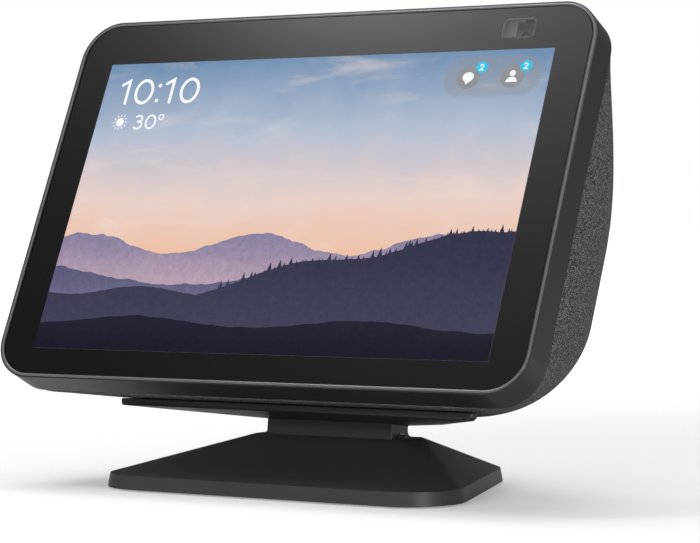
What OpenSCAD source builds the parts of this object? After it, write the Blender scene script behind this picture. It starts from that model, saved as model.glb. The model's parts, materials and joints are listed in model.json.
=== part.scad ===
// Smart display on a tilting stand.
// X runs to the viewer's right, the screen faces -Y and +Z is up. The origin is
// the centre of the stand's underside, so the part rests on the plane z = 0.
//
// Three nested frames place the pieces:
//   tilted()  origin on the hinge axis, turned by the tilt of the stand
//   docked()  origin under the front edge of the display, on its flat underside
//   facing()  origin on the lower front edge of the frame; X right, Y is the
//             depth behind the face and Z runs up the face

/* [Face] */
// Width of the front frame
face_w = 200.4; // [180:0.2:250]
// Height of the front frame, measured up the face
face_h = 135.2; // [122:0.2:170]
// Corner radius of the front frame
face_r = 14; // [10:0.5:20]
// Width of the frame's lip beside the glass
lip_side = 1.9; // [1.6:0.1:3]
// Width of the frame's lip above the glass
lip_top = 1.2; // [1:0.1:3]
// Width of the frame's lip below the glass
lip_bottom = 1.6; // [1.2:0.1:3]
// Depth of the plain band behind the face
band_d = 11.5; // [10.5:0.5:15]
// Lean of the face from upright when the underside lies flat
face_lean = 18; // [14:0.5:24]
// Height of the frame's lower front edge above the flat underside
chin_h = 4; // [3:0.5:6]

/* [Screen] */
// Width of the lit picture
screen_w = 172.3; // [150:0.1:174]
// Height of the lit picture
screen_h = 107.7; // [92:0.1:108.5]
// How far the picture's centre lies below the middle of the glass
screen_drop = 3.2; // [2.5:0.1:5]
// Thickness of the cover glass
glass_t = 1.1; // [0.8:0.1:1.6]
// Dark border of the display cell around the picture
cell_border = 2.4; // [1.5:0.1:3]
// Thickness of the display cell
cell_t = 1.2; // [0.9:0.1:1.6]
// Thickness of the light guide
guide_t = 2.2; // [1.6:0.1:2.8]
// Thickness of the sheet steel of the backlight tray
tray_t = 0.8; // [0.5:0.1:1]

/* [Rear shell] */
// Depth of the whole display behind the face
body_d = 87.5; // [80:0.5:105]
// How much narrower each side is at the back than at the face
side_taper = 58.5; // [40:0.5:70]
// How far the roof falls from the face to the back
roof_fall = 77.3; // [70:0.1:88]
// Extra corner radius at the back
corner_growth = 27.6; // [18:0.2:32]
// Radius of the edge around the back
back_edge_r = 5; // [3:0.5:7]
// Thickness of the fabric and its foam backing
fabric_t = 1.1; // [0.8:0.1:1.6]
// Wall of the rear shell, across the face's plane
shell_wall = 2; // [1.6:0.1:3]
// Height of the rubber foot below the flat underside
foot_proud = 1.2; // [0.8:0.1:1.8]

/* [Camera and buttons] */
// Camera's distance from the middle of the face
camera_x = 72.7; // [55:0.5:76]
// Camera's distance below the top of the glass
camera_down = 8.9; // [7:0.1:10]
// Diameter of the camera barrel
camera_d = 5.6; // [4.5:0.1:6.5]
// Travel of the privacy shutter
shutter_travel = 6.5; // [6:0.1:8]
// Diameter of the top buttons
button_d = 6.4; // [5:0.1:6.8]
// Travel of the top buttons
button_travel = 0.8; // [0.5:0.1:1]
// How far the top buttons stand out
button_proud = 0.9; // [0.9:0.1:1.2]

/* [Sound] */
// Diameter of each loudspeaker's frame
speaker_d = 50; // [40:0.5:52]
// Half the length of the sound box
box_half = 58; // [50:0.5:62]
// Wall of the sound box
box_wall = 2; // [1.6:0.1:3]
// Diameter of the passive radiator
radiator_d = 30; // [22:0.5:34]

/* [Electronics] */
// Width of the main board
board_w = 126; // [100:1:150]
// Height of the main board
board_h = 62; // [50:1:74]
// Thickness of the circuit boards
board_t = 1.6; // [1:0.1:2]
// Bore of the power inlet
inlet_d = 5.5; // [4:0.1:6.5]
// Diameter of the inlet's centre pin
inlet_pin_d = 2.1; // [1.3:0.1:2.5]

/* [Stand] */
// Width of the base at the front
base_w = 144.6; // [120:0.2:180]
// Width of the base at the rear
base_rear_w = 83.8; // [80:0.2:110]
// Depth of the base
base_d = 99.2; // [90:0.2:125]
// Corner radius of the base
base_r = 18.6; // [12:0.2:24]
// Height of the rim around the base
rim_h = 5.1; // [4:0.1:7]
// Lean-in of the rim over its height
rim_draft = 0.8; // [0:0.1:1.5]
// Wall of the base shell
base_wall = 2.2; // [1.8:0.1:3]
// Thickness of the steel weight
weight_t = 3; // [2:0.1:3.4]
// Width of the tilt plate at the front
plate_w = 141; // [120:1:150]
// Width of the tilt plate at the rear
plate_rear_w = 56; // [54:1:70]
// Length of the tilt plate ahead of the hinge
plate_front = 32.8; // [28:0.1:38]
// Length of the tilt plate behind the hinge
plate_back = 21.7; // [16:0.1:24]
// Height of the tilt plate's edge
plate_t = 2.4; // [2:0.1:3.6]

/* [Hinge] */
// Hinge axis behind the middle of the base
hinge_y = 4.2; // [0:0.1:10]
// Hinge axis above the table
hinge_z = 14.5; // [14.5:0.1:20]
// Tilt of the plate from level, front edge up
tilt = 7.2; // [0:0.1:15]
// Radius of the hinge barrel
barrel_r = 6.6; // [5.5:0.1:7]
// Half the length of the hinge barrel
barrel_half = 24.5; // [20:0.5:27]
// Thickness of the cheeks at the barrel's ends
cheek_t = 2.2; // [1.8:0.1:3.5]
// Diameter of the hinge pin
pin_d = 4; // [3:0.1:5]

/* [Fits] */
// Gap between pieces that move past each other
run_gap = 0.35; // [0.3:0.05:0.5]
// Gap between fixed pieces that sit side by side
seat_gap = 0.15; // [0.1:0.05:0.3]
// Gap around the hinge pin, on the radius
pin_gap = 0.04; // [0.02:0.01:0.08]

/* [Hidden] */
$fn = 64;
eps = 0.01;

// Colours
graphite = "#2b2c2e";
charcoal = "#1c1d1f";
rubber = "#101113";
steel = "#b8bcc2";
board_green = "#14563a";
cloth = "#3c3e42";
glass_black = "#0b0c0e";
copper = "#b87333";
cream = "#e8e6dc";

// Depths behind the face, front to back
glass_y = 0.2;
tape_t = 0.3;
ledge_y = glass_y + glass_t + tape_t;
ledge_t = 1.2;
ledge_w = 2.2;
cell_y = glass_y + glass_t + 0.05;
guide_y = cell_y + cell_t + 0.05;
tray_y = guide_y + guide_t + 0.1;
mid_t = 1.4;
mid_y = tray_y + tray_t + 0.4;
spreader_t = 1;
spreader_y = mid_y + mid_t + 0.3;
can_t = 1.5;
board_y = spreader_y + spreader_t + 0.2 + can_t;
box_y = board_y + board_t + 2.6;

// The face and the glass
glass_w = face_w - 2 * lip_side;
glass_h = face_h - lip_top - lip_bottom;
glass_r = face_r - lip_side;
glass_mid_z = lip_bottom + glass_h / 2;
screen_z = glass_mid_z - screen_drop;
roof_in_z = face_h - lip_top + seat_gap;
camera_z = lip_bottom + glass_h - camera_down;

// Buttons in the roof of the band
flange_r = button_d / 2 + run_gap + 0.5;
button_y = max(ledge_y + ledge_t, band_d - 2 * flange_r - 0.4) + flange_r + 0.1;
flange_t = 1.1;
switch_h = 1.4;
button_top_z = face_h + button_proud;
flange_z = roof_in_z - 0.3 - flange_t;
switch_z = flange_z - button_travel - 0.3 - switch_h;
button_x = [-34, -16, 8];

// Privacy shutter
shutter_y = ledge_y + ledge_t + run_gap;
shutter_t = 0.5;
knob_w = 6;
knob_y = shutter_y + 1.2;
knob_d = 2.4;
camera_y = shutter_y + shutter_t + run_gap;

// The back
port_z = floor_z(body_d) + back_edge_r + 7;
port_w = 46;
port_h = 17;
inlet_x = -11;
service_x = 11;

// The dock
dock_gap = 0.3;
plate_top = 10.5;
dock_front = 62.8;
foot_inset = 4.5;
recess_d = foot_proud + dock_gap;
pad_t = 0.6;
magnet_d = 10;
magnet_t = 0.9;
magnet_spots = [[18, 8], [-18, 8], [32, -14], [-32, -14]];
plate_corner_r = 2.2;

// The stand
neck_half_w = barrel_half + run_gap + cheek_t;
trough_half_d = barrel_r + run_gap;
cheek_r = pin_d / 2 + 1.6;
web_front = barrel_r - 0.1;
web_back = 4.5;
web_top = barrel_r + 0.2;
hill_half_w = neck_half_w + 1.3;
hill_front = hinge_y - trough_half_d - 0.45;
hill_rear = hinge_y + trough_half_d + 0.45;
base_lift = 0.6;
cover_z = 0.8;
cover_t = 1.6;
foot_ring_t = cover_z;
shoulder_z = hinge_z + 2.4;
weight_z = cover_z + cover_t + 0.2;

// ---------------------------------------------------------------- frames

module tilted() translate([0, hinge_y, hinge_z]) rotate([-tilt, 0, 0]) children();

module docked() tilted() translate([0, -dock_front, plate_top + dock_gap]) children();

module facing() docked() translate([0, 0, chin_h]) rotate([-face_lean, 0, 0]) children();

// Draws a flat outline (x, up the face) from the given depth backwards
module layer(depth, thick) {
    translate([0, depth + thick, 0]) rotate([90, 0, 0]) linear_extrude(thick) children();
}

// Draws a flat outline (depth, up the face) centred across the width
module across(width) {
    translate([-width / 2, 0, 0]) rotate([90, 0, 90]) linear_extrude(width) children();
}

module round_rect(w, h, r) {
    rr = min(r, w / 2 - eps, h / 2 - eps);
    for (s = [-1, 1]) {
        translate([-w / 2 + rr, -h / 2]) square([w - 2 * rr, h]);
        translate([-w / 2, -h / 2 + rr]) square([w, h - 2 * rr]);
    }
    for (sx = [-1, 1], sy = [-1, 1])
        translate([sx * (w / 2 - rr), sy * (h / 2 - rr)]) circle(rr);
}

module ring_2d(w, h, r, wall) {
    difference() {
        round_rect(w, h, r);
        round_rect(w - 2 * wall, h - 2 * wall, r - wall);
    }
}

// Cylinder whose axis runs along X, centred on the origin
module rod_x(r, length) rotate([0, 90, 0]) cylinder(r = r, h = length, center = true);

// Cylinder whose axis runs back from the face, from y = 0
module rod_y(r, length) rotate([-90, 0, 0]) cylinder(r = r, h = length);

// ------------------------------------------------ curved back of the display

// The share of the way from the band to the back, 0 to 1
function back_share(depth) = min(1, max(0, (depth - band_d) / (body_d - band_d)));
function half_width(depth) = face_w / 2 - side_taper * pow(back_share(depth), 3);
function roof_z(depth) = face_h - roof_fall * back_share(depth);
function floor_z(depth) =
    max(0, (depth * sin(face_lean) - chin_h) / cos(face_lean));
function corner_r(depth) = face_r + corner_growth * sqrt(back_share(depth));

corner_steps = 8;
back_steps = 11;
edge_steps = 3;

// One closed outline across the back, drawn in by an inset
function back_ring(depth, inset) =
    let (
        w = half_width(depth) - inset,
        top = roof_z(depth) - inset,
        bottom = floor_z(depth) + inset,
        r = min(max(corner_r(depth) - inset, 1), (top - bottom) / 2 - 0.2, w - 0.2)
    ) [
        for (corner = [[1, 0, -90], [1, 1, 0], [-1, 1, 90], [-1, 0, 180]])
            let (
                cx = corner[0] * (w - r),
                cz = corner[1] == 1 ? top - r : bottom + r
            )
            for (i = [0 : corner_steps])
                let (turn = corner[2] + 90 * i / corner_steps)
                [cx + r * cos(turn), depth, cz + r * sin(turn)]
    ];

// The outlines from a starting depth to the back, then round the rear edge.
// Every inset shares the same depths, so nested skins stay parallel.
function back_rings(start, inset) =
    let (
        last = body_d - back_edge_r,
        reach = max(back_edge_r - inset, 0.5)
    ) concat(
        [back_ring(start, inset)],
        [for (i = [start < band_d ? 0 : 1 : back_steps])
            back_ring(band_d + (last - band_d) * pow(i / back_steps, 1.25), inset)],
        [for (i = [1 : edge_steps])
            let (turn = 80 * i / edge_steps)
            back_ring(last + reach * sin(turn), inset + reach * (1 - cos(turn)))]
    );

module loft(rings) {
    n = len(rings[0]);
    m = len(rings);
    polyhedron(
        points = [for (ring = rings) for (p = ring) p],
        faces = concat(
            [[for (i = [n - 1 : -1 : 0]) i]],
            [[for (i = [0 : n - 1]) (m - 1) * n + i]],
            [for (k = [0 : m - 2], i = [0 : n - 1])
                [k * n + i, k * n + (i + 1) % n, (k + 1) * n + i]],
            [for (k = [0 : m - 2], i = [0 : n - 1])
                [k * n + (i + 1) % n, (k + 1) * n + (i + 1) % n, (k + 1) * n + i]]
        ),
        convexity = 4
    );
}

module back_solid(start, inset) loft(back_rings(start, inset));

// ------------------------------------------------------------------ display

module cover_glass() color(glass_black) facing() {
    layer(glass_y, glass_t)
        translate([0, glass_mid_z]) round_rect(glass_w, glass_h, glass_r);
}

module glass_tape() color(rubber) facing() {
    layer(glass_y + glass_t, tape_t)
        translate([0, glass_mid_z])
            ring_2d(glass_w - 0.6, glass_h - 0.6, glass_r - 0.3, ledge_w - 0.8);
}

cell_w = screen_w + 2 * cell_border;
cell_h = screen_h + 2 * cell_border;

module display_cell() color("#20242c") facing() {
    layer(cell_y, cell_t)
        translate([0, screen_z]) round_rect(cell_w, cell_h, 1);
}

module light_guide() color(cream) facing() {
    layer(guide_y, guide_t)
        translate([0, screen_z]) round_rect(cell_w - 1.6, cell_h - 1.6, 1);
}

// A shallow steel tray that holds the light guide
module backlight_tray() color(steel) facing() {
    layer(tray_y, tray_t)
        translate([0, screen_z]) round_rect(cell_w + 1.6, cell_h + 1.6, 1.4);
    layer(guide_y + 0.3, tray_y - guide_y - 0.3 + eps)
        translate([0, screen_z]) ring_2d(cell_w + 1.6, cell_h + 1.6, 1.4, 0.8);
}

// Band round the display, with a lip in front and a ledge for the glass
module front_frame() color(graphite) facing() {
    difference() {
        layer(0, band_d)
            translate([0, face_h / 2]) round_rect(face_w, face_h, face_r);
        layer(-1, ledge_y + 1)
            translate([0, glass_mid_z])
                round_rect(glass_w + 2 * seat_gap, glass_h + 2 * seat_gap, glass_r);
        layer(ledge_y - eps, ledge_t + 2 * eps)
            translate([0, glass_mid_z])
                round_rect(glass_w - 2 * ledge_w, glass_h - 2 * ledge_w, glass_r - ledge_w);
        layer(ledge_y + ledge_t, band_d)
            translate([0, glass_mid_z])
                round_rect(glass_w + 2 * seat_gap, glass_h + 2 * seat_gap, glass_r);
        for (x = button_x)
            translate([x, button_y, roof_in_z - 1])
                cylinder(r = button_d / 2 + run_gap, h = lip_top + 3);
        translate([camera_x - shutter_travel - knob_w / 2 - 0.6, knob_y - 0.35, roof_in_z - 1])
            cube([shutter_travel + knob_w + 1.2, knob_d + 0.7, lip_top + 3]);
    }
    frame_bosses();
}

boss_spots = [
    for (sx = [-1, 1], z = [face_h * 0.16, face_h * 0.62]) [sx * (face_w / 2 - 7), z]
];

// Pillars inside the band that take the frame screws
module frame_bosses() {
    for (p = boss_spots)
        translate([p[0], ledge_y + ledge_t - eps, p[1]])
            difference() {
                union() {
                    rod_y(2.6, band_d - ledge_y - ledge_t - 1);
                    translate([p[0] > 0 ? 0 : -5.6, 0, -1])
                        cube([5.6, band_d - ledge_y - ledge_t - 1, 2]);
                }
                translate([0, 1, 0]) rod_y(0.9, band_d);
            }
}

module mid_frame() color(charcoal) facing() {
    mid_w = min(cell_w + 4, face_w - 2 * (7 + 2.6 + 0.6));
    mid_h = switch_z - 4.4;
    difference() {
        layer(mid_y, mid_t)
            translate([0, 3.4 + mid_h / 2]) round_rect(mid_w, mid_h, 4);
        for (x = [-mid_w / 2 + 22, mid_w / 2 - 22])
            layer(mid_y - 1, mid_t + 2)
                translate([x, mid_h * 0.45]) round_rect(22, mid_h * 0.5, 4);
        layer(mid_y - 1, mid_t + 2)
            translate([camera_x, camera_z]) round_rect(16, 14, 1);
    }
}

shell_inset = fabric_t + 0.1;
room_inset = shell_inset + shell_wall;
seam_gap = 0.4;

slot_pitch = 6;
slot_count = 7;
sound_y = box_y + speaker_d / 2 + 1;
sound_z = (floor_z(sound_y) + roof_z(sound_y)) / 2 - 3;

// Hard shell under the fabric, with sound slots in its sides
module rear_shell() color(charcoal) facing() {
    difference() {
        back_solid(band_d, shell_inset);
        back_solid(band_d - 1, room_inset);
        for (k = [0 : slot_count - 1])
            translate([-face_w, sound_y - 14, sound_z + (k - (slot_count - 1) / 2) * slot_pitch - 1.2])
                cube([2 * face_w, 28, 2.4]);
        port_cutout(0.5);
    }
}

// The opening in the back that the port plate fills
module port_cutout(gap) {
    layer(body_d - 12, 24)
        translate([0, port_z]) round_rect(port_w + 2 * gap, port_h + 2 * gap, port_h / 2);
}

module rear_fabric() color(cloth) facing() {
    difference() {
        back_solid(band_d + seam_gap, 0);
        back_solid(band_d - 1, fabric_t);
        port_cutout(0.2);
        foot_block(4, 0.3);
    }
}

// The foot's outline on the flat underside: it follows the tilt plate
module foot_outline(gap) {
    inset = foot_inset - gap;
    front = -plate_front + dock_front + inset;
    back = plate_back + dock_front - inset;
    run = (plate_w - plate_rear_w) / 2 / (plate_front + plate_back);
    side = inset * sqrt(1 + run * run);
    front_half = plate_w / 2 - side - run * inset;
    back_half = plate_rear_w / 2 - side + run * inset;
    polygon([[-front_half, front], [front_half, front], [back_half, back], [-back_half, back]]);
}

// The foot's outline drawn as a block through the underside, in the face's frame
module foot_block(height, gap) {
    rotate([face_lean, 0, 0])
        translate([0, 0, -chin_h - foot_proud])
            linear_extrude(foot_proud + height) foot_outline(gap);
}

module bottom_foot() color(rubber) docked() {
    translate([0, 0, -foot_proud])
        linear_extrude(foot_proud + shell_inset - 0.1) foot_outline(0);
}

// Steel plate over the underside that the stand's magnets pull
module dock_keeper() color(steel) docked() {
    keeper_z = room_inset / cos(face_lean) + 0.3;
    for (s = magnet_spots)
        translate([s[0], s[1] + dock_front - 3, keeper_z])
            cylinder(r = magnet_d / 2 + 1, h = 0.8);
    translate([-34, dock_front - 27, keeper_z]) cube([68, 22, 0.8]);
}

module heat_spreader() color(steel) facing() {
    layer(spreader_y, spreader_t)
        translate([0, board_z]) round_rect(board_w - 20, board_h - 8, 2);
}

board_z = face_h * 0.46;

module main_board() color(board_green) facing() {
    difference() {
        layer(board_y, board_t)
            translate([0, board_z]) round_rect(board_w, board_h, 2);
        for (sx = [-1, 1], sz = [-1, 1])
            translate([sx * (board_w / 2 - 4), board_y - 1, board_z + sz * (board_h / 2 - 4)])
                rod_y(1.6, board_t + 2);
    }
}

// Pressed cans over the processor, the radio and the memory
module shield_cans() color(steel) facing() {
    for (can = [[-24, 6, 34, 30], [14, 10, 26, 22], [40, -8, 18, 24]])
        layer(board_y - can_t, can_t)
            translate([can[0], board_z + can[1]]) round_rect(can[2], can[3], 0.8);
}

// Packages and connectors on the back of the board
module board_chips() color(charcoal) facing() {
    for (chip = [[-44, 10, 12, 12], [-18, 12, 14, 9], [10, -10, 8, 8], [34, 12, 16, 5],
                 [-30, -18, 20, 4.5], [4, 18, 16, 5], [48, -16, 9, 9]])
        layer(board_y + board_t, 1.4)
            translate([chip[0], board_z + chip[1]]) round_rect(chip[2], chip[3], 0.4);
}

// -------------------------------------------------------------------- sound

// Side outline of the sound box: depth and height up the face, inside the shell
box_back = body_d - 22;
box_margin = room_inset + 4.5;

function box_outline(inset) = [
    [box_y + inset, floor_z(box_y) + box_margin + 1 + inset],
    [box_y + inset, min(roof_z(box_y) - 28, switch_z - 20) - inset],
    [(box_y + box_back) / 2, roof_z((box_y + box_back) / 2) - box_margin - 5 - inset],
    [box_back - inset, roof_z(box_back) - box_margin - 4 - inset],
    [box_back - inset, floor_z(box_back) + box_margin + 2 + inset]
];

speaker_r = min(speaker_d / 2,
                (box_outline(0)[2][1] - floor_z(sound_y) - box_margin) / 2 - 1);
radiator_z = sound_z - 1;

module sound_box() color(charcoal) facing() {
    difference() {
        across(2 * box_half) polygon(box_outline(0));
        across(2 * (box_half - box_wall)) polygon(box_outline(box_wall));
        translate([0, sound_y, sound_z]) rod_x(speaker_r - 3.5, 2 * box_half + 4);
        translate([0, box_back - box_wall - 1, radiator_z]) rod_y(radiator_d / 2, box_wall + 2);
    }
}

module at_each_speaker() {
    for (side = [-1, 1])
        translate([side * box_half, sound_y, sound_z]) rotate([0, side * 90, 0]) children();
}

// Pressed frame: a flange on the box and a basket inside it
module speaker_frames() color(steel) facing() at_each_speaker() {
    rotate_extrude() polygon([
        [speaker_r - 4.5, 0.1], [speaker_r - 0.5, 0.1], [speaker_r - 0.5, 1.6],
        [speaker_r - 3, 1.6], [speaker_r - 5.2, -1], [13.6, -12], [13.6, -13.2],
        [11, -13.2], [11, -14.2], [14.8, -14.2], [14.8, -12.6], [speaker_r - 4.5, -1.6]
    ]);
}

module speaker_cones() color(charcoal) facing() at_each_speaker() {
    rotate_extrude() polygon([
        [speaker_r - 8, 0.6], [speaker_r - 8, -0.2], [8, -8.4], [8, -12], [7.3, -12],
        [7.3, -8], [3, -5.6], [0, -5], [0, -4.4], [3.4, -5], [7.6, -7.4]
    ]);
}

// Half-round rubber ring between cone and frame
module speaker_surrounds() color(rubber) facing() at_each_speaker() {
    mid = speaker_r - 6;
    rotate_extrude() {
        difference() {
            translate([mid, 0.7]) circle(2);
            translate([mid, 0.7]) circle(1.5);
            translate([mid - 4, -3.3]) square([8, 4]);
        }
        translate([mid - 2.3, 0.7]) square([0.5, 0.5]);
        translate([mid + 1.5, 1.7]) square([1.6, 0.5]);
    }
}

module speaker_magnets() color(steel) facing() at_each_speaker() {
    translate([0, 0, -23]) difference() {
        cylinder(r = 14, h = 8.6);
        translate([0, 0, 1.5]) difference() {
            cylinder(r = 8.6, h = 8);
            translate([0, 0, -1]) cylinder(r = 6.6, h = 10);
        }
    }
}

module radiator_cone() color(charcoal) facing() {
    translate([0, box_back - 0.9, radiator_z]) rod_y(radiator_d / 2 - 4.5, 1.4);
}

module radiator_surround() color(rubber) facing() {
    translate([0, box_back, radiator_z]) rotate([-90, 0, 0]) rotate_extrude() {
        difference() {
            translate([radiator_d / 2 - 1.8, 0.1]) circle(2.4);
            translate([radiator_d / 2 - 1.8, 0.1]) circle(1.8);
            translate([radiator_d / 2 - 6, -4.9]) square([9, 5]);
        }
    }
}

// --------------------------------------------------------- camera and buttons

module camera_module() color(charcoal) facing() {
    translate([camera_x, camera_y, camera_z]) {
        difference() {
            union() {
                rod_y(camera_d / 2, 2.5);
                translate([-4.2, 2.4, -4.2]) cube([8.4, 1.6, 8.4]);
            }
            translate([0, -1, 0]) rod_y(camera_d / 2 - 1, 2.2);
        }
    }
}

module camera_lens() color("#1b2440") facing() {
    translate([camera_x, camera_y + 1.2, camera_z]) rotate([90, 0, 0])
        rotate_extrude() polygon(concat(
            [[0, 0], [camera_d / 2 - 1, 0]],
            [for (i = [0 : 6]) [(camera_d / 2 - 1) * cos(15 * i), 0.3 + 0.6 * sin(15 * i)]]
        ));
}

// Blade behind the glass, its carrier and the knob on the roof, in one piece
module shutter() color(graphite) facing() {
    blade_w = camera_d + 0.8;
    x = camera_x - shutter_travel;
    blade_bottom = camera_z - camera_d / 2 - 0.3;
    stem_top = face_h + 0.9;
    translate([x - blade_w / 2, shutter_y, blade_bottom])
        cube([blade_w, shutter_t, roof_in_z - 0.4 - blade_bottom]);
    translate([x - blade_w / 2, shutter_y, roof_in_z - 1.9])
        cube([blade_w, knob_y - shutter_y + knob_d + 0.8, 1.5]);
    translate([x - knob_w / 2, knob_y, roof_in_z - 0.6])
        cube([knob_w, knob_d, stem_top - roof_in_z + 0.6]);
}

// A round push button held behind the roof by its flange
module push_button(x) color(graphite) facing() {
    translate([x, button_y, 0]) {
        translate([0, 0, flange_z]) cylinder(r = flange_r, h = flange_t);
        translate([0, 0, flange_z]) cylinder(r = button_d / 2, h = button_top_z - flange_z);
    }
}

module volume_down() push_button(button_x[0]);
module volume_up() push_button(button_x[1]);
module mic_button() push_button(button_x[2]);

strip_left = button_x[0] - 9;
strip_right = button_x[2] + 9;

module button_board() color(board_green) facing() {
    translate([strip_left, button_y - 3.4, switch_z - 1])
        cube([strip_right - strip_left, 7, 1]);
}

module dome_switches() color(steel) facing() {
    for (x = button_x)
        translate([x, button_y, switch_z]) {
            translate([-2.6, -2.6, 0]) cube([5.2, 5.2, 0.9]);
            cylinder(r = 1.4, h = switch_h);
        }
}

mic_spots = [-58, 28, 44, 58];

module microphones() color(steel) facing() {
    for (x = mic_spots)
        layer(ledge_y + ledge_t + 0.4, 1)
            translate([x, camera_z + 2]) round_rect(3.8, 3, 0.3);
}

module light_sensor() color("#304050") facing() {
    layer(ledge_y + ledge_t + 0.4, 0.8)
        translate([camera_x - 22, camera_z - 1]) round_rect(2.4, 2, 0.3);
}

// -------------------------------------------------------------------- ports

port_face = body_d - 0.8;
port_wall = 2;
service_w = 7.6;
service_h = 2.6;
inlet_body_d = inlet_d + 4;
inlet_depth = 11;

module port_plate() color(charcoal) facing() {
    difference() {
        union() {
            layer(port_face - port_wall, port_wall)
                translate([0, port_z]) round_rect(port_w, port_h, port_h / 2);
            layer(port_face - port_wall - 2.6, 2.6 + eps)
                translate([0, port_z])
                    ring_2d(port_w - 1, port_h - 1, port_h / 2 - 0.5, 1.4);
        }
        translate([inlet_x, port_face - 8, port_z]) rod_y(inlet_d / 2 + 0.9, 12);
        layer(port_face - 8, 12)
            translate([service_x, port_z]) round_rect(service_w + 1.2, service_h + 1.2, 0.8);
    }
}

// Socket with an open bore and the insulating floor that carries the pin
module power_inlet() color(rubber) facing() {
    front = port_face - port_wall - seat_gap - inlet_depth;
    translate([inlet_x, front, port_z]) difference() {
        rod_y(inlet_body_d / 2, inlet_depth);
        translate([0, 1.6, 0]) rod_y(inlet_d / 2, inlet_depth);
        translate([0, -1, 0]) rod_y(inlet_pin_d / 2 + 0.02, 4);
    }
}

module inlet_pin() color(copper) facing() {
    translate([inlet_x, port_face - port_wall - seat_gap - inlet_depth + 0.2, port_z])
        rod_y(inlet_pin_d / 2, inlet_depth - 2);
}

// Small service socket: a pressed shell around a tongue
module service_port() color(steel) facing() {
    layer(port_face - port_wall - seat_gap - 5, 5)
        translate([service_x, port_z]) ring_2d(service_w, service_h, 0.6, 0.35);
    layer(port_face - port_wall - seat_gap - 5, 1)
        translate([service_x, port_z]) round_rect(service_w - 0.4, service_h - 0.4, 0.4);
    layer(port_face - port_wall - seat_gap - 4.5, 3.6)
        translate([service_x, port_z]) square([service_w - 2.8, 0.6], center = true);
}

module antennas() color(copper) facing() {
    for (side = [-1, 1])
        layer(board_y, 0.4)
            translate([side * (board_w / 2 + 11), board_z + 14]) round_rect(10, 34, 1);
}

ribbon_t = 0.15;

// Flat ribbon from the display cell round to the board
module screen_ribbon() color("#c88a2e") facing() {
    low_z = screen_z - cell_h / 2 - 1.6;
    turn_z = board_z - board_h / 2 + 2.4;
    near_y = mid_y + mid_t + 0.07;
    translate([-50, near_y, low_z]) cube([24, ribbon_t, turn_z - low_z]);
    translate([-50, near_y, turn_z - ribbon_t]) cube([24, board_y - near_y - 0.05, ribbon_t]);
}

module camera_ribbon() color("#c88a2e") facing() {
    top = camera_z - 4.4;
    bottom = board_z + board_h / 2 - 4;
    translate([camera_x - 3, camera_y + 4.2, bottom]) cube([6, ribbon_t, top - bottom]);
}

module frame_screws() color(steel) facing() {
    for (p = boss_spots)
        translate([p[0], ledge_y + ledge_t + 1.4, p[1]]) {
            rod_y(0.88, band_d - ledge_y - ledge_t - 2.2);
            translate([0, band_d - ledge_y - ledge_t - 2.3, 0]) rod_y(1.9, 1.2);
        }
}

// -------------------------------------------------------------------- stand

// Outline of a plate that narrows to the rear, its corners rounded by arcs
module tapered_outline(front_w, rear_w, front, rear, r) {
    slope = atan((front_w - rear_w) / 2 / (rear - front));
    // Arc centres sit a radius inside the front, the rear and the sloping sides
    front_x = front_w / 2 - r * tan(slope) - r / cos(slope);
    rear_x = rear_w / 2 + r * tan(slope) - r / cos(slope);
    steps = 8;
    right = concat(
        [for (i = [0 : steps]) let (turn = -90 + (90 + slope) * i / steps)
            [front_x + r * cos(turn), front + r + r * sin(turn)]],
        [for (i = [0 : steps]) let (turn = slope + (90 - slope) * i / steps)
            [rear_x + r * cos(turn), rear - r + r * sin(turn)]]
    );
    polygon(concat(right, [for (i = [len(right) - 1 : -1 : 0]) [-right[i][0], right[i][1]]]));
}

module plate_outline(inset) {
    run = (plate_w - plate_rear_w) / 2 / (plate_front + plate_back);
    side = inset * sqrt(1 + run * run);
    tapered_outline(plate_w - 2 * side - 2 * run * inset, plate_rear_w - 2 * side + 2 * run * inset,
                    -plate_front + inset, plate_back - inset, max(plate_corner_r - inset, 1));
}

// The plate that carries the display, with its hinge barrel underneath
module tilt_plate() color(charcoal) tilted() {
    difference() {
        union() {
            translate([0, 0, plate_top - plate_t]) linear_extrude(plate_t) plate_outline(0);
            hull() {
                translate([0, 0, plate_top - plate_t]) linear_extrude(0.2) plate_outline(0.4);
                translate([-barrel_half - 1, -web_front, web_top])
                    cube([2 * barrel_half + 2, web_front + web_back, 0.5]);
            }
            translate([-barrel_half, -web_front, 0])
                cube([2 * barrel_half, web_front + web_back, web_top + 0.2]);
            rod_x(barrel_r, 2 * barrel_half);
        }
        translate([0, 0, plate_top - recess_d - pad_t]) linear_extrude(recess_d + pad_t + 1)
            plate_outline(foot_inset - 1.2);
        for (s = magnet_spots)
            translate([s[0], s[1], plate_top - recess_d - pad_t - magnet_t - 0.1])
                cylinder(r = magnet_d / 2 + 0.1, h = magnet_t + 1);
        rod_x(pin_d / 2 + pin_gap, 2 * barrel_half + 2);
        for (side = [-1, 1])
            translate([side * (barrel_half - 2), 0, 0]) rod_x(pin_d / 2 + 1.2, 4 + eps);
    }
}

module plate_pad() color(rubber) tilted() {
    translate([0, 0, plate_top - recess_d - pad_t])
        linear_extrude(pad_t) plate_outline(foot_inset - 1);
}

module plate_magnets() color(steel) tilted() {
    for (s = magnet_spots)
        translate([s[0], s[1], plate_top - recess_d - pad_t - magnet_t - 0.05])
            cylinder(r = magnet_d / 2, h = magnet_t);
}

// Sleeves in the barrel's ends that the pin turns in
module barrel_bushes() color(cream) tilted() {
    for (side = [-1, 1])
        translate([side * (barrel_half - 2), 0, 0]) difference() {
            rod_x(pin_d / 2 + 1.15, 3.9);
            rod_x(pin_d / 2 + pin_gap, 5);
        }
}

disc_t = 0.25;

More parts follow.
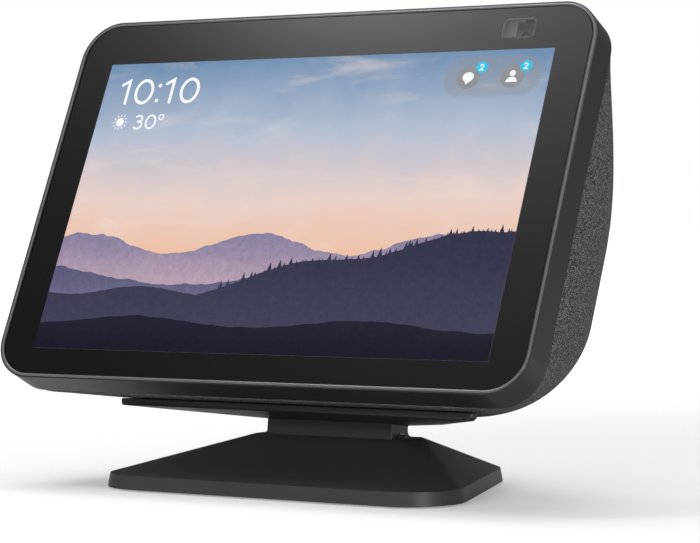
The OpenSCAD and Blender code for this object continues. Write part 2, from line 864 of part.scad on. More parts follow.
// Spring washers between barrel and cheeks
module friction_discs() color(steel) {
    for (side = [-1, 1])
        translate([side * (barrel_half + run_gap - disc_t / 2 - 0.02), hinge_y, hinge_z])
            difference() {
                rod_x(pin_d / 2 + 2, disc_t);
                rod_x(pin_d / 2 + 0.02, disc_t + 1);
            }
}

module hinge_pin() color(steel) {
    translate([0, hinge_y, hinge_z]) rod_x(pin_d / 2, 2 * neck_half_w - 1);
}

module base_outline(inset) {
    run = (base_w - base_rear_w) / 2 / base_d;
    side = inset * sqrt(1 + run * run);
    tapered_outline(base_w - 2 * side - 2 * run * inset, base_rear_w - 2 * side + 2 * run * inset,
                    -base_d / 2 + inset, base_d / 2 - inset, base_r - inset);
}

// Low pyramid from the rim up to the foot of the neck
module base_hill(inset) {
    hull() {
        translate([0, 0, rim_h - 0.4]) linear_extrude(0.4 - (inset > 0 ? 0.2 : 0))
            base_outline(rim_draft + inset);
        translate([-hill_half_w + inset, hill_front + inset, shoulder_z - 0.4 - inset])
            cube([2 * (hill_half_w - inset), hill_rear - hill_front - 2 * inset, 0.4]);
    }
}

module base_rim() {
    hull() {
        translate([0, 0, base_lift]) linear_extrude(0.1) base_outline(0);
        translate([0, 0, rim_h - 0.1]) linear_extrude(0.1) base_outline(rim_draft);
    }
}

// The base's cover: rim, hill and the neck with its trough and cheeks
module base_shell() color(charcoal) {
    difference() {
        union() {
            difference() {
                union() {
                    base_rim();
                    base_hill(0);
                }
                base_hill(base_wall);
                translate([0, 0, -1]) linear_extrude(rim_h + 1) base_outline(rim_draft + base_wall);
            }
            neck_block();
        }
        translate([0, hinge_y, hinge_z]) {
            rod_x(barrel_r + run_gap, 2 * (barrel_half + run_gap));
            translate([-barrel_half - run_gap, -barrel_r - run_gap, 0])
                cube([2 * (barrel_half + run_gap), 2 * (barrel_r + run_gap), 20]);
            rod_x(pin_d / 2 + 0.01, 2 * neck_half_w + 2);
        }
    }
    screw_posts();
}

neck_floor = hinge_z - barrel_r - run_gap - 1.5;

// Solid block that holds the trough, with a round cheek at each end for the pin
module neck_block() {
    translate([0, hinge_y, 0]) {
        translate([-neck_half_w, -trough_half_d, neck_floor])
            cube([2 * neck_half_w, 2 * trough_half_d, shoulder_z - neck_floor - 0.2]);
        for (side = [-1, 1])
            translate([side * (neck_half_w - cheek_t / 2), 0, hinge_z]) rod_x(cheek_r, cheek_t);
    }
}

post_spots = [for (s = [-1, 1], y = [-base_d * 0.26, base_d * 0.3]) [s * (y < 0 ? base_w * 0.29 : base_rear_w * 0.3), y]];

post_z = weight_z + weight_t + 0.3;

// Hollow pillars under the hill for the base screws
module screw_posts() {
    for (p = post_spots)
        translate([p[0], p[1], post_z]) difference() {
            cylinder(r = 3, h = hill_z(p) - base_wall / 2 - post_z);
            translate([0, 0, -1]) cylinder(r = 1, h = 1 + screw_reach(p));
        }
}

// How far a base screw goes into its post
function screw_reach(p) = min(2.4, hill_z(p) - base_wall - 0.6 - post_z);

// Height of the hill's outside above a point: the lowest of its slopes there
function hill_z(p) =
    let (
        front = -base_d / 2 + rim_draft,
        rear = -front,
        edge = base_w / 2 - (base_w - base_rear_w) / 2 * (p[1] + base_d / 2) / base_d - rim_draft,
        ahead = p[1] < hinge_y ? (p[1] - front) / (hill_front - front) : (rear - p[1]) / (rear - hill_rear),
        aside = (edge - abs(p[0])) / (edge - hill_half_w)
    )
    rim_h + (shoulder_z - rim_h) * max(0.1, min(1, ahead, aside));

// The weight stays clear of the hill, which closes in above the rim: its
// longest slope is the one that leaves the least room
slope_run = max(base_w / 2 - hill_half_w, base_d / 2 + hill_front, base_d / 2 - hill_rear);
weight_inset = rim_draft + base_wall + 0.8
    + max(0, weight_z + weight_t - rim_h + 0.4) * slope_run / (shoulder_z - rim_h);

module base_weight() color(steel) {
    translate([0, 0, weight_z]) difference() {
        linear_extrude(weight_t) base_outline(weight_inset);
        for (p = post_spots) translate([p[0], p[1], -1]) cylinder(r = 1.6, h = weight_t + 2);
    }
}

module base_cover() color(charcoal) {
    difference() {
        translate([0, 0, cover_z]) linear_extrude(cover_t)
            base_outline(rim_draft + base_wall + seat_gap);
        for (p = post_spots)
            translate([p[0], p[1], cover_z - 1]) {
                cylinder(r = 1.3, h = cover_t + 2);
                cylinder(r = 2.5, h = 2);
            }
    }
}

module base_foot() color(rubber) {
    difference() {
        linear_extrude(foot_ring_t) base_outline(rim_draft + base_wall + 1.5);
        for (p = post_spots)
            translate([p[0], p[1], -1]) cylinder(r = 3, h = foot_ring_t + 2);
    }
}

module base_screws() color(steel) {
    for (p = post_spots)
        translate([p[0], p[1], cover_z + 0.1]) {
            cylinder(r = 2.2, h = 0.9);
            cylinder(r = 0.98, h = post_z + screw_reach(p) - 0.3 - cover_z);
        }
}

// ------------------------------------------------------------------- output

cover_glass();
glass_tape();
display_cell();
light_guide();
backlight_tray();
front_frame();
mid_frame();
rear_shell();
rear_fabric();
bottom_foot();
dock_keeper();
heat_spreader();
main_board();
shield_cans();
board_chips();
sound_box();
speaker_frames();
speaker_cones();
speaker_surrounds();
speaker_magnets();
radiator_cone();
radiator_surround();
camera_module();
camera_lens();
shutter();
volume_up();
volume_down();
mic_button();
button_board();
dome_switches();
microphones();
light_sensor();
port_plate();
power_inlet();
inlet_pin();
service_port();
antennas();
screen_ribbon();
camera_ribbon();
frame_screws();
tilt_plate();
plate_pad();
plate_magnets();
barrel_bushes();
friction_discs();
hinge_pin();
base_shell();
base_weight();
base_cover();
base_foot();
base_screws();
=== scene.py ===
"""Looks of a smart display on a tilting stand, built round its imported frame.

Every piece is made in metres in the frame's own axes: X to the viewer's right, the
screen faces -Y, +Z up, the stand's underside on z = 0.
"""

from __future__ import annotations

import json
import logging
import math
import random
from dataclasses import dataclass, field
from enum import Enum
from typing import Callable, Iterable, Sequence

import bmesh
import bpy
from mathutils import Matrix, Vector, noise

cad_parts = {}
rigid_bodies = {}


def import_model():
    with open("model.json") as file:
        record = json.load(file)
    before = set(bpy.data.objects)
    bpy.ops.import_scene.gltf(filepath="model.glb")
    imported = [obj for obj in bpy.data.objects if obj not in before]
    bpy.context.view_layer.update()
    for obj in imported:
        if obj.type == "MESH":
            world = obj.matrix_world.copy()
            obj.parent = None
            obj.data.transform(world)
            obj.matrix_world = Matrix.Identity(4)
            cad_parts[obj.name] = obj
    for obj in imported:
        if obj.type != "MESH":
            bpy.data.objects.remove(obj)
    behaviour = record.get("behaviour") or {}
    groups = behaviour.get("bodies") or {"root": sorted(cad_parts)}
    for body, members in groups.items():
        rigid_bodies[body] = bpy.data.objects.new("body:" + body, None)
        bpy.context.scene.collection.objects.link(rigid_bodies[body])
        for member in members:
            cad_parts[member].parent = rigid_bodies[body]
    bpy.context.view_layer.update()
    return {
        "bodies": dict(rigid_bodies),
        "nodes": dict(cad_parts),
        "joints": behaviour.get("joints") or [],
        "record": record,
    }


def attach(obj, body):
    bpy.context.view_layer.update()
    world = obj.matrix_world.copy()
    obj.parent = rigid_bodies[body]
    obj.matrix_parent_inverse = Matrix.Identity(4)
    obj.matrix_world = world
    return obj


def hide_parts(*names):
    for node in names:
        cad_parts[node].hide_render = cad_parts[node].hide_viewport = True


MM = 0.001
log = logging.getLogger("smart_display")

Point2 = tuple[float, float]
Point3 = tuple[float, float, float]


# ------------------------------------------------------------------- colours and nodes


def linear(hex_colour: str, alpha: float = 1.0) -> tuple[float, float, float, float]:
    """Turns an sRGB hex colour into linear light.

    Args:
        hex_colour: six hex digits, with or without a leading #.
        alpha: the fourth value.

    Returns:
        Linear red, green, blue and the alpha given.
    """
    digits = hex_colour.lstrip("#")
    values = [int(digits[i : i + 2], 16) / 255 for i in (0, 2, 4)]
    out = [v / 12.92 if v <= 0.04045 else ((v + 0.055) / 1.055) ** 2.4 for v in values]
    return out[0], out[1], out[2], alpha


def add_node(
    tree: bpy.types.NodeTree,
    kind: str,
    settings: dict | None = None,
    feeds: dict | None = None,
) -> bpy.types.Node:
    """Adds a node, sets it up and links it.

    Args:
        tree: the node tree that gets it.
        kind: Blender's type name of the node.
        settings: attributes by name; "stops" is a list of (place, colour) for a ramp.
        feeds: inputs by name or number, each a value or the socket that feeds it.

    Returns:
        The new node.
    """
    node = tree.nodes.new(kind)
    for name, value in (settings or {}).items():
        if name == "stops":
            elements = node.color_ramp.elements
            while len(elements) > 1:
                elements.remove(elements[-1])
            for i, (place, colour) in enumerate(value):
                stop = elements[0] if i == 0 else elements.new(place)
                stop.position = place
                stop.color = colour
        else:
            setattr(node, name, value)
    for name, value in (feeds or {}).items():
        if isinstance(value, bpy.types.NodeSocket):
            tree.links.new(value, node.inputs[name])
        else:
            node.inputs[name].default_value = value
    return node


def blank_material(name: str, values: dict) -> tuple[bpy.types.Material, bpy.types.Node]:
    """Makes a material that holds one Principled shader.

    Args:
        name: the material's name.
        values: plain values for the shader's sockets.

    Returns:
        The material and its shader node.
    """
    material = bpy.data.materials.new(name)
    material.use_nodes = True
    tree = material.node_tree
    tree.nodes.clear()
    shader = add_node(tree, "ShaderNodeBsdfPrincipled", feeds=values)
    add_node(tree, "ShaderNodeOutputMaterial", feeds={"Surface": shader.outputs["BSDF"]})
    return material, shader


def lit_material(name: str) -> tuple[bpy.types.Material, bpy.types.Node]:
    """Makes a material for the lit picture, which shines through the satin glass.

    Args:
        name: the material's name.

    Returns:
        The material and its shader node, whose emission colour is left to set.
    """
    return blank_material(
        name,
        {
            "Base Color": linear("030303"),
            "Roughness": 0.3,
            "Specular IOR Level": 0.1,
            "Emission Strength": 1.0,
        },
    )


# ---------------------------------------------------------------------------- finishes


class Grain(Enum):
    """How a surface was made, which sets its pattern."""

    MOULDED = "moulded"
    BRUSHED = "brushed"
    ROLLED = "rolled"
    TRACKED = "tracked"
    FIBROUS = "fibrous"


@dataclass(frozen=True)
class Finish:
    """A real material with its colour, gloss and the pattern its making left.

    The pattern's size is the real pitch in millimetres.
    """

    name: str
    colour: str
    shade: str
    roughness: float
    grain: Grain = Grain.MOULDED
    pitch_mm: float = 0.3
    relief_mm: float = 0.01
    metallic: float = 0.0
    ior: float = 1.5
    specular: float = 0.5
    coat: float = 0.0
    spread: float = 0.06

    def _pattern(self, tree: bpy.types.NodeTree) -> bpy.types.NodeSocket:
        """Builds the surface pattern and returns its 0 to 1 height."""
        coords = add_node(tree, "ShaderNodeTexCoord").outputs["Object"]
        stretch = {
            Grain.BRUSHED: (0.03, 1.0, 1.0),
            Grain.ROLLED: (0.4, 1.0, 1.0),
            Grain.FIBROUS: (1.0, 0.35, 1.0),
        }.get(self.grain, (1.0, 1.0, 1.0))
        placed = add_node(
            tree, "ShaderNodeMapping", feeds={"Vector": coords, "Scale": stretch}
        ).outputs["Vector"]
        per_metre = 1 / (self.pitch_mm * MM)
        if self.grain is Grain.TRACKED:
            return add_node(
                tree,
                "ShaderNodeTexVoronoi",
                {"distance": "CHEBYCHEV"},
                {"Vector": placed, "Scale": per_metre, "Randomness": 0.75},
            ).outputs["Distance"]
        return add_node(
            tree,
            "ShaderNodeTexNoise",
            feeds={"Vector": placed, "Scale": per_metre, "Detail": 3.0, "Roughness": 0.55},
        ).outputs["Fac"]

    def build(self) -> bpy.types.Material:
        """Makes the material."""
        material, shader = blank_material(
            self.name,
            {
                "Metallic": self.metallic,
                "IOR": self.ior,
                "Specular IOR Level": self.specular,
                "Coat Weight": self.coat,
                "Coat Roughness": 0.12,
            },
        )
        tree = material.node_tree
        height = self._pattern(tree)
        coords = add_node(tree, "ShaderNodeTexCoord").outputs["Object"]
        # Handling and flow in the mould leave slow changes of tone, tens of millimetres long
        drift = add_node(
            tree, "ShaderNodeTexNoise", feeds={"Vector": coords, "Scale": 28.0, "Detail": 2.0}
        ).outputs["Fac"]
        mixed = add_node(
            tree,
            "ShaderNodeMath",
            {"operation": "MULTIPLY_ADD"},
            {0: drift, 1: 0.5, 2: add_node(
                tree, "ShaderNodeMath", {"operation": "MULTIPLY"}, {0: height, 1: 0.5}
            ).outputs[0]},
        ).outputs[0]
        tone = add_node(
            tree,
            "ShaderNodeValToRGB",
            {"stops": [(0.3, linear(self.colour)), (0.75, linear(self.shade))]},
            {"Fac": mixed},
        ).outputs["Color"]
        tree.links.new(tone, shader.inputs["Base Color"])
        rough = add_node(
            tree,
            "ShaderNodeMapRange",
            feeds={
                "Value": mixed,
                "From Min": 0.3,
                "From Max": 0.7,
                "To Min": max(self.roughness - self.spread, 0.02),
                "To Max": min(self.roughness + self.spread, 1.0),
            },
        ).outputs["Result"]
        tree.links.new(rough, shader.inputs["Roughness"])
        bump = add_node(
            tree,
            "ShaderNodeBump",
            feeds={"Height": height, "Distance": self.relief_mm * MM, "Strength": 0.6},
        ).outputs["Normal"]
        tree.links.new(bump, shader.inputs["Normal"])
        return material


@dataclass(frozen=True)
class KnitCloth:
    """Fine weft knit in a charcoal melange: light and dark fibres spun together.

    The stitches are drawn twice as coarse as the real 0.5 mm, so that they show.
    """

    name: str = "polyester_knit_melange"
    dark: str = "131314"
    middle: str = "2c2d2e"
    light: str = "8c8d8e"
    stitch_mm: float = 1.0
    fibre_mm: float = 0.5
    relief_mm: float = 0.25

    def build(self) -> bpy.types.Material:
        """Makes the material."""
        material, shader = blank_material(
            self.name,
            {
                "Roughness": 0.9,
                "Specular IOR Level": 0.2,
                "Sheen Weight": 0.12,
                "Sheen Roughness": 0.5,
                "Sheen Tint": linear("8d8f94"),
            },
        )
        tree = material.node_tree
        uv = add_node(tree, "ShaderNodeTexCoord").outputs["UV"]
        coords = add_node(tree, "ShaderNodeTexCoord").outputs["Object"]
        wobble = add_node(
            tree, "ShaderNodeTexNoise", feeds={"Vector": coords, "Scale": 600.0, "Detail": 2.0}
        ).outputs["Color"]
        bent = add_node(
            tree,
            "ShaderNodeVectorMath",
            {"operation": "MULTIPLY_ADD"},
            {0: wobble, 1: (0.0006, 0.0006, 0.0), 2: uv},
        ).outputs["Vector"]
        turns = 1 / (self.stitch_mm * MM)
        # Two sets of slanted ribs cross to make the V of each stitch
        ribs = []
        for slant in (0.6, -0.6):
            turned = add_node(
                tree,
                "ShaderNodeMapping",
                feeds={"Vector": bent, "Rotation": (0.0, 0.0, slant), "Scale": (turns, turns, 1.0)},
            ).outputs["Vector"]
            ribs.append(
                add_node(
                    tree,
                    "ShaderNodeTexWave",
                    {"wave_type": "BANDS", "bands_direction": "X", "wave_profile": "SIN"},
                    {"Vector": turned, "Scale": 1 / math.tau * math.pi, "Distortion": 0.6},
                ).outputs["Fac"]
            )
        stitch = add_node(
            tree, "ShaderNodeMath", {"operation": "MAXIMUM"}, {0: ribs[0], 1: ribs[1]}
        ).outputs[0]
        fibres = add_node(
            tree,
            "ShaderNodeTexNoise",
            feeds={
                "Vector": coords,
                "Scale": 1 / (self.fibre_mm * MM),
                "Detail": 3.0,
                "Roughness": 0.7,
            },
        ).outputs["Fac"]
        blend = add_node(
            tree,
            "ShaderNodeMath",
            {"operation": "MULTIPLY_ADD"},
            {0: stitch, 1: 0.22, 2: fibres},
        ).outputs[0]
        tone = add_node(
            tree,
            "ShaderNodeValToRGB",
            {
                "stops": [
                    (0.5, linear(self.dark)),
                    (0.64, linear(self.middle)),
                    (0.8, linear(self.light)),
                ]
            },
            {"Fac": blend},
        ).outputs["Color"]
        tree.links.new(tone, shader.inputs["Base Color"])
        bump = add_node(
            tree,
            "ShaderNodeBump",
            feeds={"Height": blend, "Distance": self.relief_mm * MM, "Strength": 0.9},
        ).outputs["Normal"]
        tree.links.new(bump, shader.inputs["Normal"])
        return material


@dataclass(frozen=True)
class InkedGlass:
    """Soda-lime cover glass, etched to a satin and printed black from behind.

    The etch turns mirror reflections into a soft gradient over the black border.
    """

    name: str = "etched_cover_glass"
    ink: str = "070708"
    roughness: float = 0.26
    etch_mm: float = 0.12

    def build(self) -> bpy.types.Material:
        """Makes the material."""
        material, shader = blank_material(
            self.name, {"Base Color": linear(self.ink), "IOR": 1.52, "Specular IOR Level": 0.5}
        )
        tree = material.node_tree
        coords = add_node(tree, "ShaderNodeTexCoord").outputs["Object"]
        etch = add_node(
            tree,
            "ShaderNodeTexNoise",
            feeds={"Vector": coords, "Scale": 1 / (self.etch_mm * MM), "Detail": 2.0},
        ).outputs["Fac"]
        rough = add_node(
            tree,
            "ShaderNodeMapRange",
            feeds={
                "Value": etch,
                "To Min": self.roughness - 0.02,
                "To Max": self.roughness + 0.02,
            },
        ).outputs["Result"]
        tree.links.new(rough, shader.inputs["Roughness"])
        return material


@dataclass(frozen=True)
class ClearGlass:
    """Clear optical glass: sharp reflections, and what lies behind shows through."""

    name: str
    tint: str = "ffffff"
    roughness: float = 0.02
    specular: float = 0.5
    haze: float = 0.0

    def build(self) -> bpy.types.Material:
        """Makes the material."""
        material, shader = blank_material(
            self.name,
            {
                "Base Color": linear(self.tint),
                "IOR": 1.5,
                "Specular IOR Level": self.specular,
                "Transmission Weight": 1.0 - self.haze,
            },
        )
        tree = material.node_tree
        coords = add_node(tree, "ShaderNodeTexCoord").outputs["Object"]
        # A trace of dust keeps the polish from being perfectly even
        dust = add_node(
            tree, "ShaderNodeTexNoise", feeds={"Vector": coords, "Scale": 900.0, "Detail": 4.0}
        ).outputs["Fac"]
        rough = add_node(
            tree,
            "ShaderNodeMapRange",
            feeds={"Value": dust, "To Min": 0.0, "To Max": 2 * self.roughness},
        ).outputs["Result"]
        tree.links.new(rough, shader.inputs["Roughness"])
        return material


@dataclass(frozen=True)
class LitInk:
    """Part of the lit picture: light of one colour, coming through the satin glass."""

    name: str
    colour: str
    second: str = ""

    def build(self) -> bpy.types.Material:
        """Makes the material."""
        material, shader = lit_material(self.name)
        tree = material.node_tree
        coords = add_node(tree, "ShaderNodeTexCoord").outputs["Object"]
        # The panel's own light is a little uneven
        uneven = add_node(
            tree, "ShaderNodeTexNoise", feeds={"Vector": coords, "Scale": 60.0}
        ).outputs["Fac"]
        tone = add_node(
            tree,
            "ShaderNodeValToRGB",
            {"stops": [(0.3, linear(self.colour)), (0.8, linear(self.second or self.colour))]},
            {"Fac": uneven},
        ).outputs["Color"]
        tree.links.new(tone, shader.inputs["Emission Color"])
        return material


@dataclass(frozen=True)
class DuskSky:
    """The picture's evening sky: a plain upright gradient with faint drifting cloud."""

    name: str = "lit_dusk_sky"
    zenith: str = "6c8cb0"
    high_air: str = "b0bcd0"
    low_air: str = "e8d0c8"
    horizon: str = "f0b890"
    cloud: str = "f4e0d8"
    width: float = 172.3 * MM
    height: float = 107.7 * MM
    middle_z: float = 64.6 * MM
    pill_middle: tuple = (65.9 * MM, 108.9 * MM)
    pill_half: tuple = (17.9 * MM, 7.7 * MM)

    def _over(
        self,
        tree: bpy.types.NodeTree,
        below: bpy.types.NodeSocket,
        share: bpy.types.NodeSocket,
        above: bpy.types.NodeSocket | tuple,
    ) -> bpy.types.NodeSocket:
        """Lays one colour over another by a share from 0 to 1."""
        return add_node(
            tree, "ShaderNodeMix", {"data_type": "RGBA"}, {0: share, 6: below, 7: above}
        ).outputs[2]

    def _soft_box(
        self, tree: bpy.types.NodeTree, x: bpy.types.NodeSocket, z: bpy.types.NodeSocket
    ) -> bpy.types.NodeSocket:
        """Builds the soft-edged bar behind the round marks, 1 inside and 0 outside."""
        parts = []
        straight = self.pill_half[0] - self.pill_half[1]
        for socket, middle, flat in ((x, self.pill_middle[0], straight), (z, self.pill_middle[1], 0.0)):
            off = add_node(
                tree, "ShaderNodeMath", {"operation": "SUBTRACT"}, {0: socket, 1: middle}
            ).outputs[0]
            off = add_node(tree, "ShaderNodeMath", {"operation": "ABSOLUTE"}, {0: off}).outputs[0]
            off = add_node(
                tree, "ShaderNodeMath", {"operation": "SUBTRACT"}, {0: off, 1: flat}
            ).outputs[0]
            off = add_node(
                tree, "ShaderNodeMath", {"operation": "MAXIMUM"}, {0: off, 1: 0.0}
            ).outputs[0]
            parts.append(
                add_node(tree, "ShaderNodeMath", {"operation": "POWER"}, {0: off, 1: 2.0}).outputs[0]
            )
        both = add_node(
            tree, "ShaderNodeMath", {"operation": "ADD"}, {0: parts[0], 1: parts[1]}
        ).outputs[0]
        reach = add_node(tree, "ShaderNodeMath", {"operation": "SQRT"}, {0: both}).outputs[0]
        return add_node(
            tree,
            "ShaderNodeMapRange",
            {"interpolation_type": "SMOOTHSTEP"},
            {
                "Value": reach,
                "From Min": self.pill_half[1] + 0.3 * MM,
                "From Max": self.pill_half[1] - 1.2 * MM,
            },
        ).outputs["Result"]

    def colour(self, tree: bpy.types.NodeTree) -> bpy.types.NodeSocket:
        """Builds the sky's colour in a tree and returns its socket."""
        coords = add_node(tree, "ShaderNodeTexCoord").outputs["Object"]
        parts = add_node(tree, "ShaderNodeSeparateXYZ", feeds={"Vector": coords}).outputs
        down = add_node(
            tree,
            "ShaderNodeMapRange",
            feeds={
                "Value": parts["Z"],
                "From Min": self.middle_z + self.height / 2,
                "From Max": self.middle_z - self.height / 2,
            },
        ).outputs["Result"]
        # Long soft clouds: noise drawn out along the horizon bends the gradient
        flat = add_node(
            tree, "ShaderNodeMapping", feeds={"Vector": coords, "Scale": (14.0, 1.0, 48.0)}
        ).outputs["Vector"]
        cloud = add_node(
            tree,
            "ShaderNodeTexNoise",
            feeds={
                "Vector": flat,
                "Scale": 1.6,
                "Detail": 9.0,
                "Roughness": 0.56,
                "Distortion": 0.7,
            },
        ).outputs["Fac"]
        billow = add_node(
            tree,
            "ShaderNodeTexNoise",
            feeds={"Vector": coords, "Scale": 42.0, "Detail": 8.0, "Roughness": 0.55},
        ).outputs["Fac"]
        bend = add_node(
            tree,
            "ShaderNodeMapRange",
            feeds={"Value": billow, "From Min": 0.3, "From Max": 0.7, "To Min": -0.035, "To Max": 0.035},
        ).outputs["Result"]
        bent = add_node(
            tree, "ShaderNodeMath", {"operation": "ADD"}, {0: down, 1: bend}
        ).outputs[0]
        tones = (self.zenith, self.high_air, self.low_air, self.horizon)
        stops = [(0.25 * i, linear(tone)) for i, tone in enumerate(tones)]
        sky = add_node(tree, "ShaderNodeValToRGB", {"stops": stops}, {"Fac": bent}).outputs["Color"]
        amount = add_node(
            tree,
            "ShaderNodeMapRange",
            {"interpolation_type": "SMOOTHSTEP"},
            {"Value": cloud, "From Min": 0.5, "From Max": 0.75, "To Max": 0.4},
        ).outputs["Result"]
        sky = self._over(tree, sky, amount, linear(self.cloud))
        bar = self._soft_box(tree, parts["X"], parts["Z"])
        amount = add_node(
            tree, "ShaderNodeMath", {"operation": "MULTIPLY"}, {0: bar, 1: 0.42}
        ).outputs[0]
        return self._over(tree, sky, amount, linear("8f9095"))

    def build(self) -> bpy.types.Material:
        """Makes the material."""
        material, shader = lit_material(self.name)
        tree = material.node_tree
        tree.links.new(self.colour(tree), shader.inputs["Emission Color"])
        return material


@dataclass(frozen=True)
class HazyGround:
    """Land in the picture: its crest stands clear, and its foot fades into haze.
    """

    name: str
    crest: str
    foot: str
    crest_z: float
    foot_z: float

    def build(self) -> bpy.types.Material:
        """Makes the material."""
        material, shader = lit_material(self.name)
        tree = material.node_tree
        coords = add_node(tree, "ShaderNodeTexCoord").outputs["Object"]
        up = add_node(tree, "ShaderNodeSeparateXYZ", feeds={"Vector": coords}).outputs["Z"]
        drawn_out = add_node(
            tree, "ShaderNodeMapping", feeds={"Vector": coords, "Scale": (45.0, 1.0, 110.0)}
        ).outputs["Vector"]
        wisps = add_node(
            tree, "ShaderNodeTexNoise", feeds={"Vector": drawn_out, "Scale": 1.2, "Detail": 7.0}
        ).outputs["Fac"]
        height = add_node(
            tree, "ShaderNodeMath", {"operation": "MULTIPLY_ADD"}, {0: wisps, 1: 9 * MM, 2: up}
        ).outputs[0]
        down = add_node(
            tree,
            "ShaderNodeMapRange",
            {"interpolation_type": "SMOOTHSTEP"},
            {
                "Value": height,
                "From Min": self.crest_z + 4.5 * MM,
                "From Max": self.foot_z + 4.5 * MM,
            },
        ).outputs["Result"]
        grain = add_node(
            tree,
            "ShaderNodeTexNoise",
            feeds={"Vector": coords, "Scale": 420.0, "Detail": 5.0, "Roughness": 0.7},
        ).outputs["Fac"]
        lift = add_node(
            tree,
            "ShaderNodeMapRange",
            feeds={"Value": grain, "From Min": 0.3, "From Max": 0.7, "To Min": 0.86, "To Max": 1.14},
        ).outputs["Result"]
        land = add_node(
            tree,
            "ShaderNodeMix",
            {"data_type": "RGBA"},
            {0: down, 6: linear(self.crest), 7: linear(self.foot)},
        ).outputs[2]
        land = add_node(
            tree, "ShaderNodeVectorMath", {"operation": "SCALE"}, {0: land, "Scale": lift}
        ).outputs["Vector"]
        tree.links.new(land, shader.inputs["Emission Color"])
        return material


# Satin ABS and polycarbonate mouldings: a fine spark-eroded skin spreads the highlights.
FRAME_ABS = Finish("satin_abs_frame", "202021", "272728", 0.34, pitch_mm=0.35, relief_mm=0.006, specular=0.36)
# The lip's half-round crest is glossy, and its colour is lighter than the frame's as a painted highlight: a fine
# bright line round the dark glass
LIP_PAINTED_HIGHLIGHT = Finish("glossy_abs_lip_painted_highlight", "4e4f50", "585a5b", 0.22, pitch_mm=0.5, relief_mm=0.001)
STAND_ABS = Finish("satin_abs_stand", "303031", "383839", 0.42, pitch_mm=0.35, relief_mm=0.008, specular=0.4)
INNER_ABS = Finish("black_abs_inner", "1a1b1d", "232427", 0.55, pitch_mm=0.6, relief_mm=0.02)
KEY_ABS = Finish("fine_abs_keys", "1b1c1e", "232426", 0.34, pitch_mm=0.25, relief_mm=0.004)
PORT_ABS = Finish("textured_abs_ports", "17181a", "202123", 0.5, pitch_mm=0.5, relief_mm=0.02)
PAD_PRINT = Finish("pad_printed_marks", "a9abae", "c2c4c6", 0.6, pitch_mm=0.2, relief_mm=0.004)
# Moulded rubbers: soft sheen, faintly dusty.
FOOT_RUBBER = Finish("nitrile_rubber_foot", "101112", "191a1b", 0.75, pitch_mm=0.8, relief_mm=0.03)
BLACK_RUBBER = Finish("black_rubber_foot", "0e0f10", "161718", 0.7, pitch_mm=0.7, relief_mm=0.03)
PAD_SILICONE = Finish("silicone_pad", "131416", "1b1c1e", 0.6, pitch_mm=1.2, relief_mm=0.02)
SURROUND_RUBBER = Finish("butyl_surround", "0f1011", "151617", 0.5, pitch_mm=0.9, relief_mm=0.01)
# Metals keep the default IOR; rolling or brushing draws their grain out along one way.
SHEET_STEEL = Finish("zinc_plated_sheet_steel", "a9adb2", "8d9197", 0.38, Grain.ROLLED, 1.2, 0.006, 1.0)
TINNED_STEEL = Finish("tin_plated_cans", "b9bcbf", "a1a4a8", 0.3, Grain.ROLLED, 0.9, 0.005, 1.0)
SCREW_STEEL = Finish("blackened_screw_steel", "3c3d40", "505256", 0.42, Grain.BRUSHED, 0.3, 0.005, 1.0)
SPRING_STEEL = Finish("spring_steel", "94979b", "7d8084", 0.3, Grain.BRUSHED, 0.4, 0.004, 1.0)
ALUMINIUM = Finish("anodised_aluminium_plate", "9a9ca0", "b0b2b5", 0.4, Grain.BRUSHED, 0.4, 0.006, 1.0)
BRASS = Finish("nickel_brass_pin", "c8a860", "b08f4a", 0.28, Grain.BRUSHED, 0.25, 0.003, 1.0)
COPPER = Finish("etched_copper_foil", "b8724a", "9c5d3a", 0.42, Grain.ROLLED, 0.7, 0.004, 1.0)
MAGNET = Finish("nickel_plated_magnet", "8f9296", "a8abae", 0.25, Grain.ROLLED, 1.0, 0.003, 1.0)
# Electronics and inner plastics.
BOARD = Finish("solder_mask_board", "0e4630", "1a6546", 0.42, Grain.TRACKED, 2.2, 0.03)
RESIN = Finish("epoxy_chip_resin", "17181a", "242528", 0.6, pitch_mm=0.4, relief_mm=0.01)
ACETAL = Finish("white_acetal", "d8d6ce", "e4e2da", 0.45, pitch_mm=0.5, relief_mm=0.008)
FILM = Finish("polyimide_ribbon", "a8682a", "c08038", 0.35, Grain.BRUSHED, 0.5, 0.01, specular=0.6)
PAPER = Finish("pressed_paper_cone", "242527", "38393c", 0.85, Grain.FIBROUS, 0.8, 0.05)
LIGHT_GUIDE = Finish("acrylic_light_guide", "dfe3e2", "eef1f0", 0.2, pitch_mm=0.6, relief_mm=0.02)
PANEL_GLASS = Finish("display_cell_glass", "15181d", "1d2128", 0.15, pitch_mm=0.4, relief_mm=0.001)
CAMERA_ABS = Finish("black_camera_barrel", "0b0c0d", "131415", 0.5, pitch_mm=0.3, relief_mm=0.01)
SHUTTER_ABS = Finish("grey_shutter_blade", "808286", "909296", 0.45, pitch_mm=0.3, relief_mm=0.006)


class Palette:
    """Builds each finish once and hands out its material."""

    def __init__(self) -> None:
        """Starts with no materials."""
        self._made: dict[str, bpy.types.Material] = {}

    def of(self, finish: object) -> bpy.types.Material:
        """Gives the material of a finish.

        Args:
            finish: any of the finish classes above.

        Returns:
            The material, made the first time it is asked for.
        """
        if finish.name not in self._made:
            self._made[finish.name] = finish.build()
        return self._made[finish.name]


# ------------------------------------------------------------------------- mesh helpers


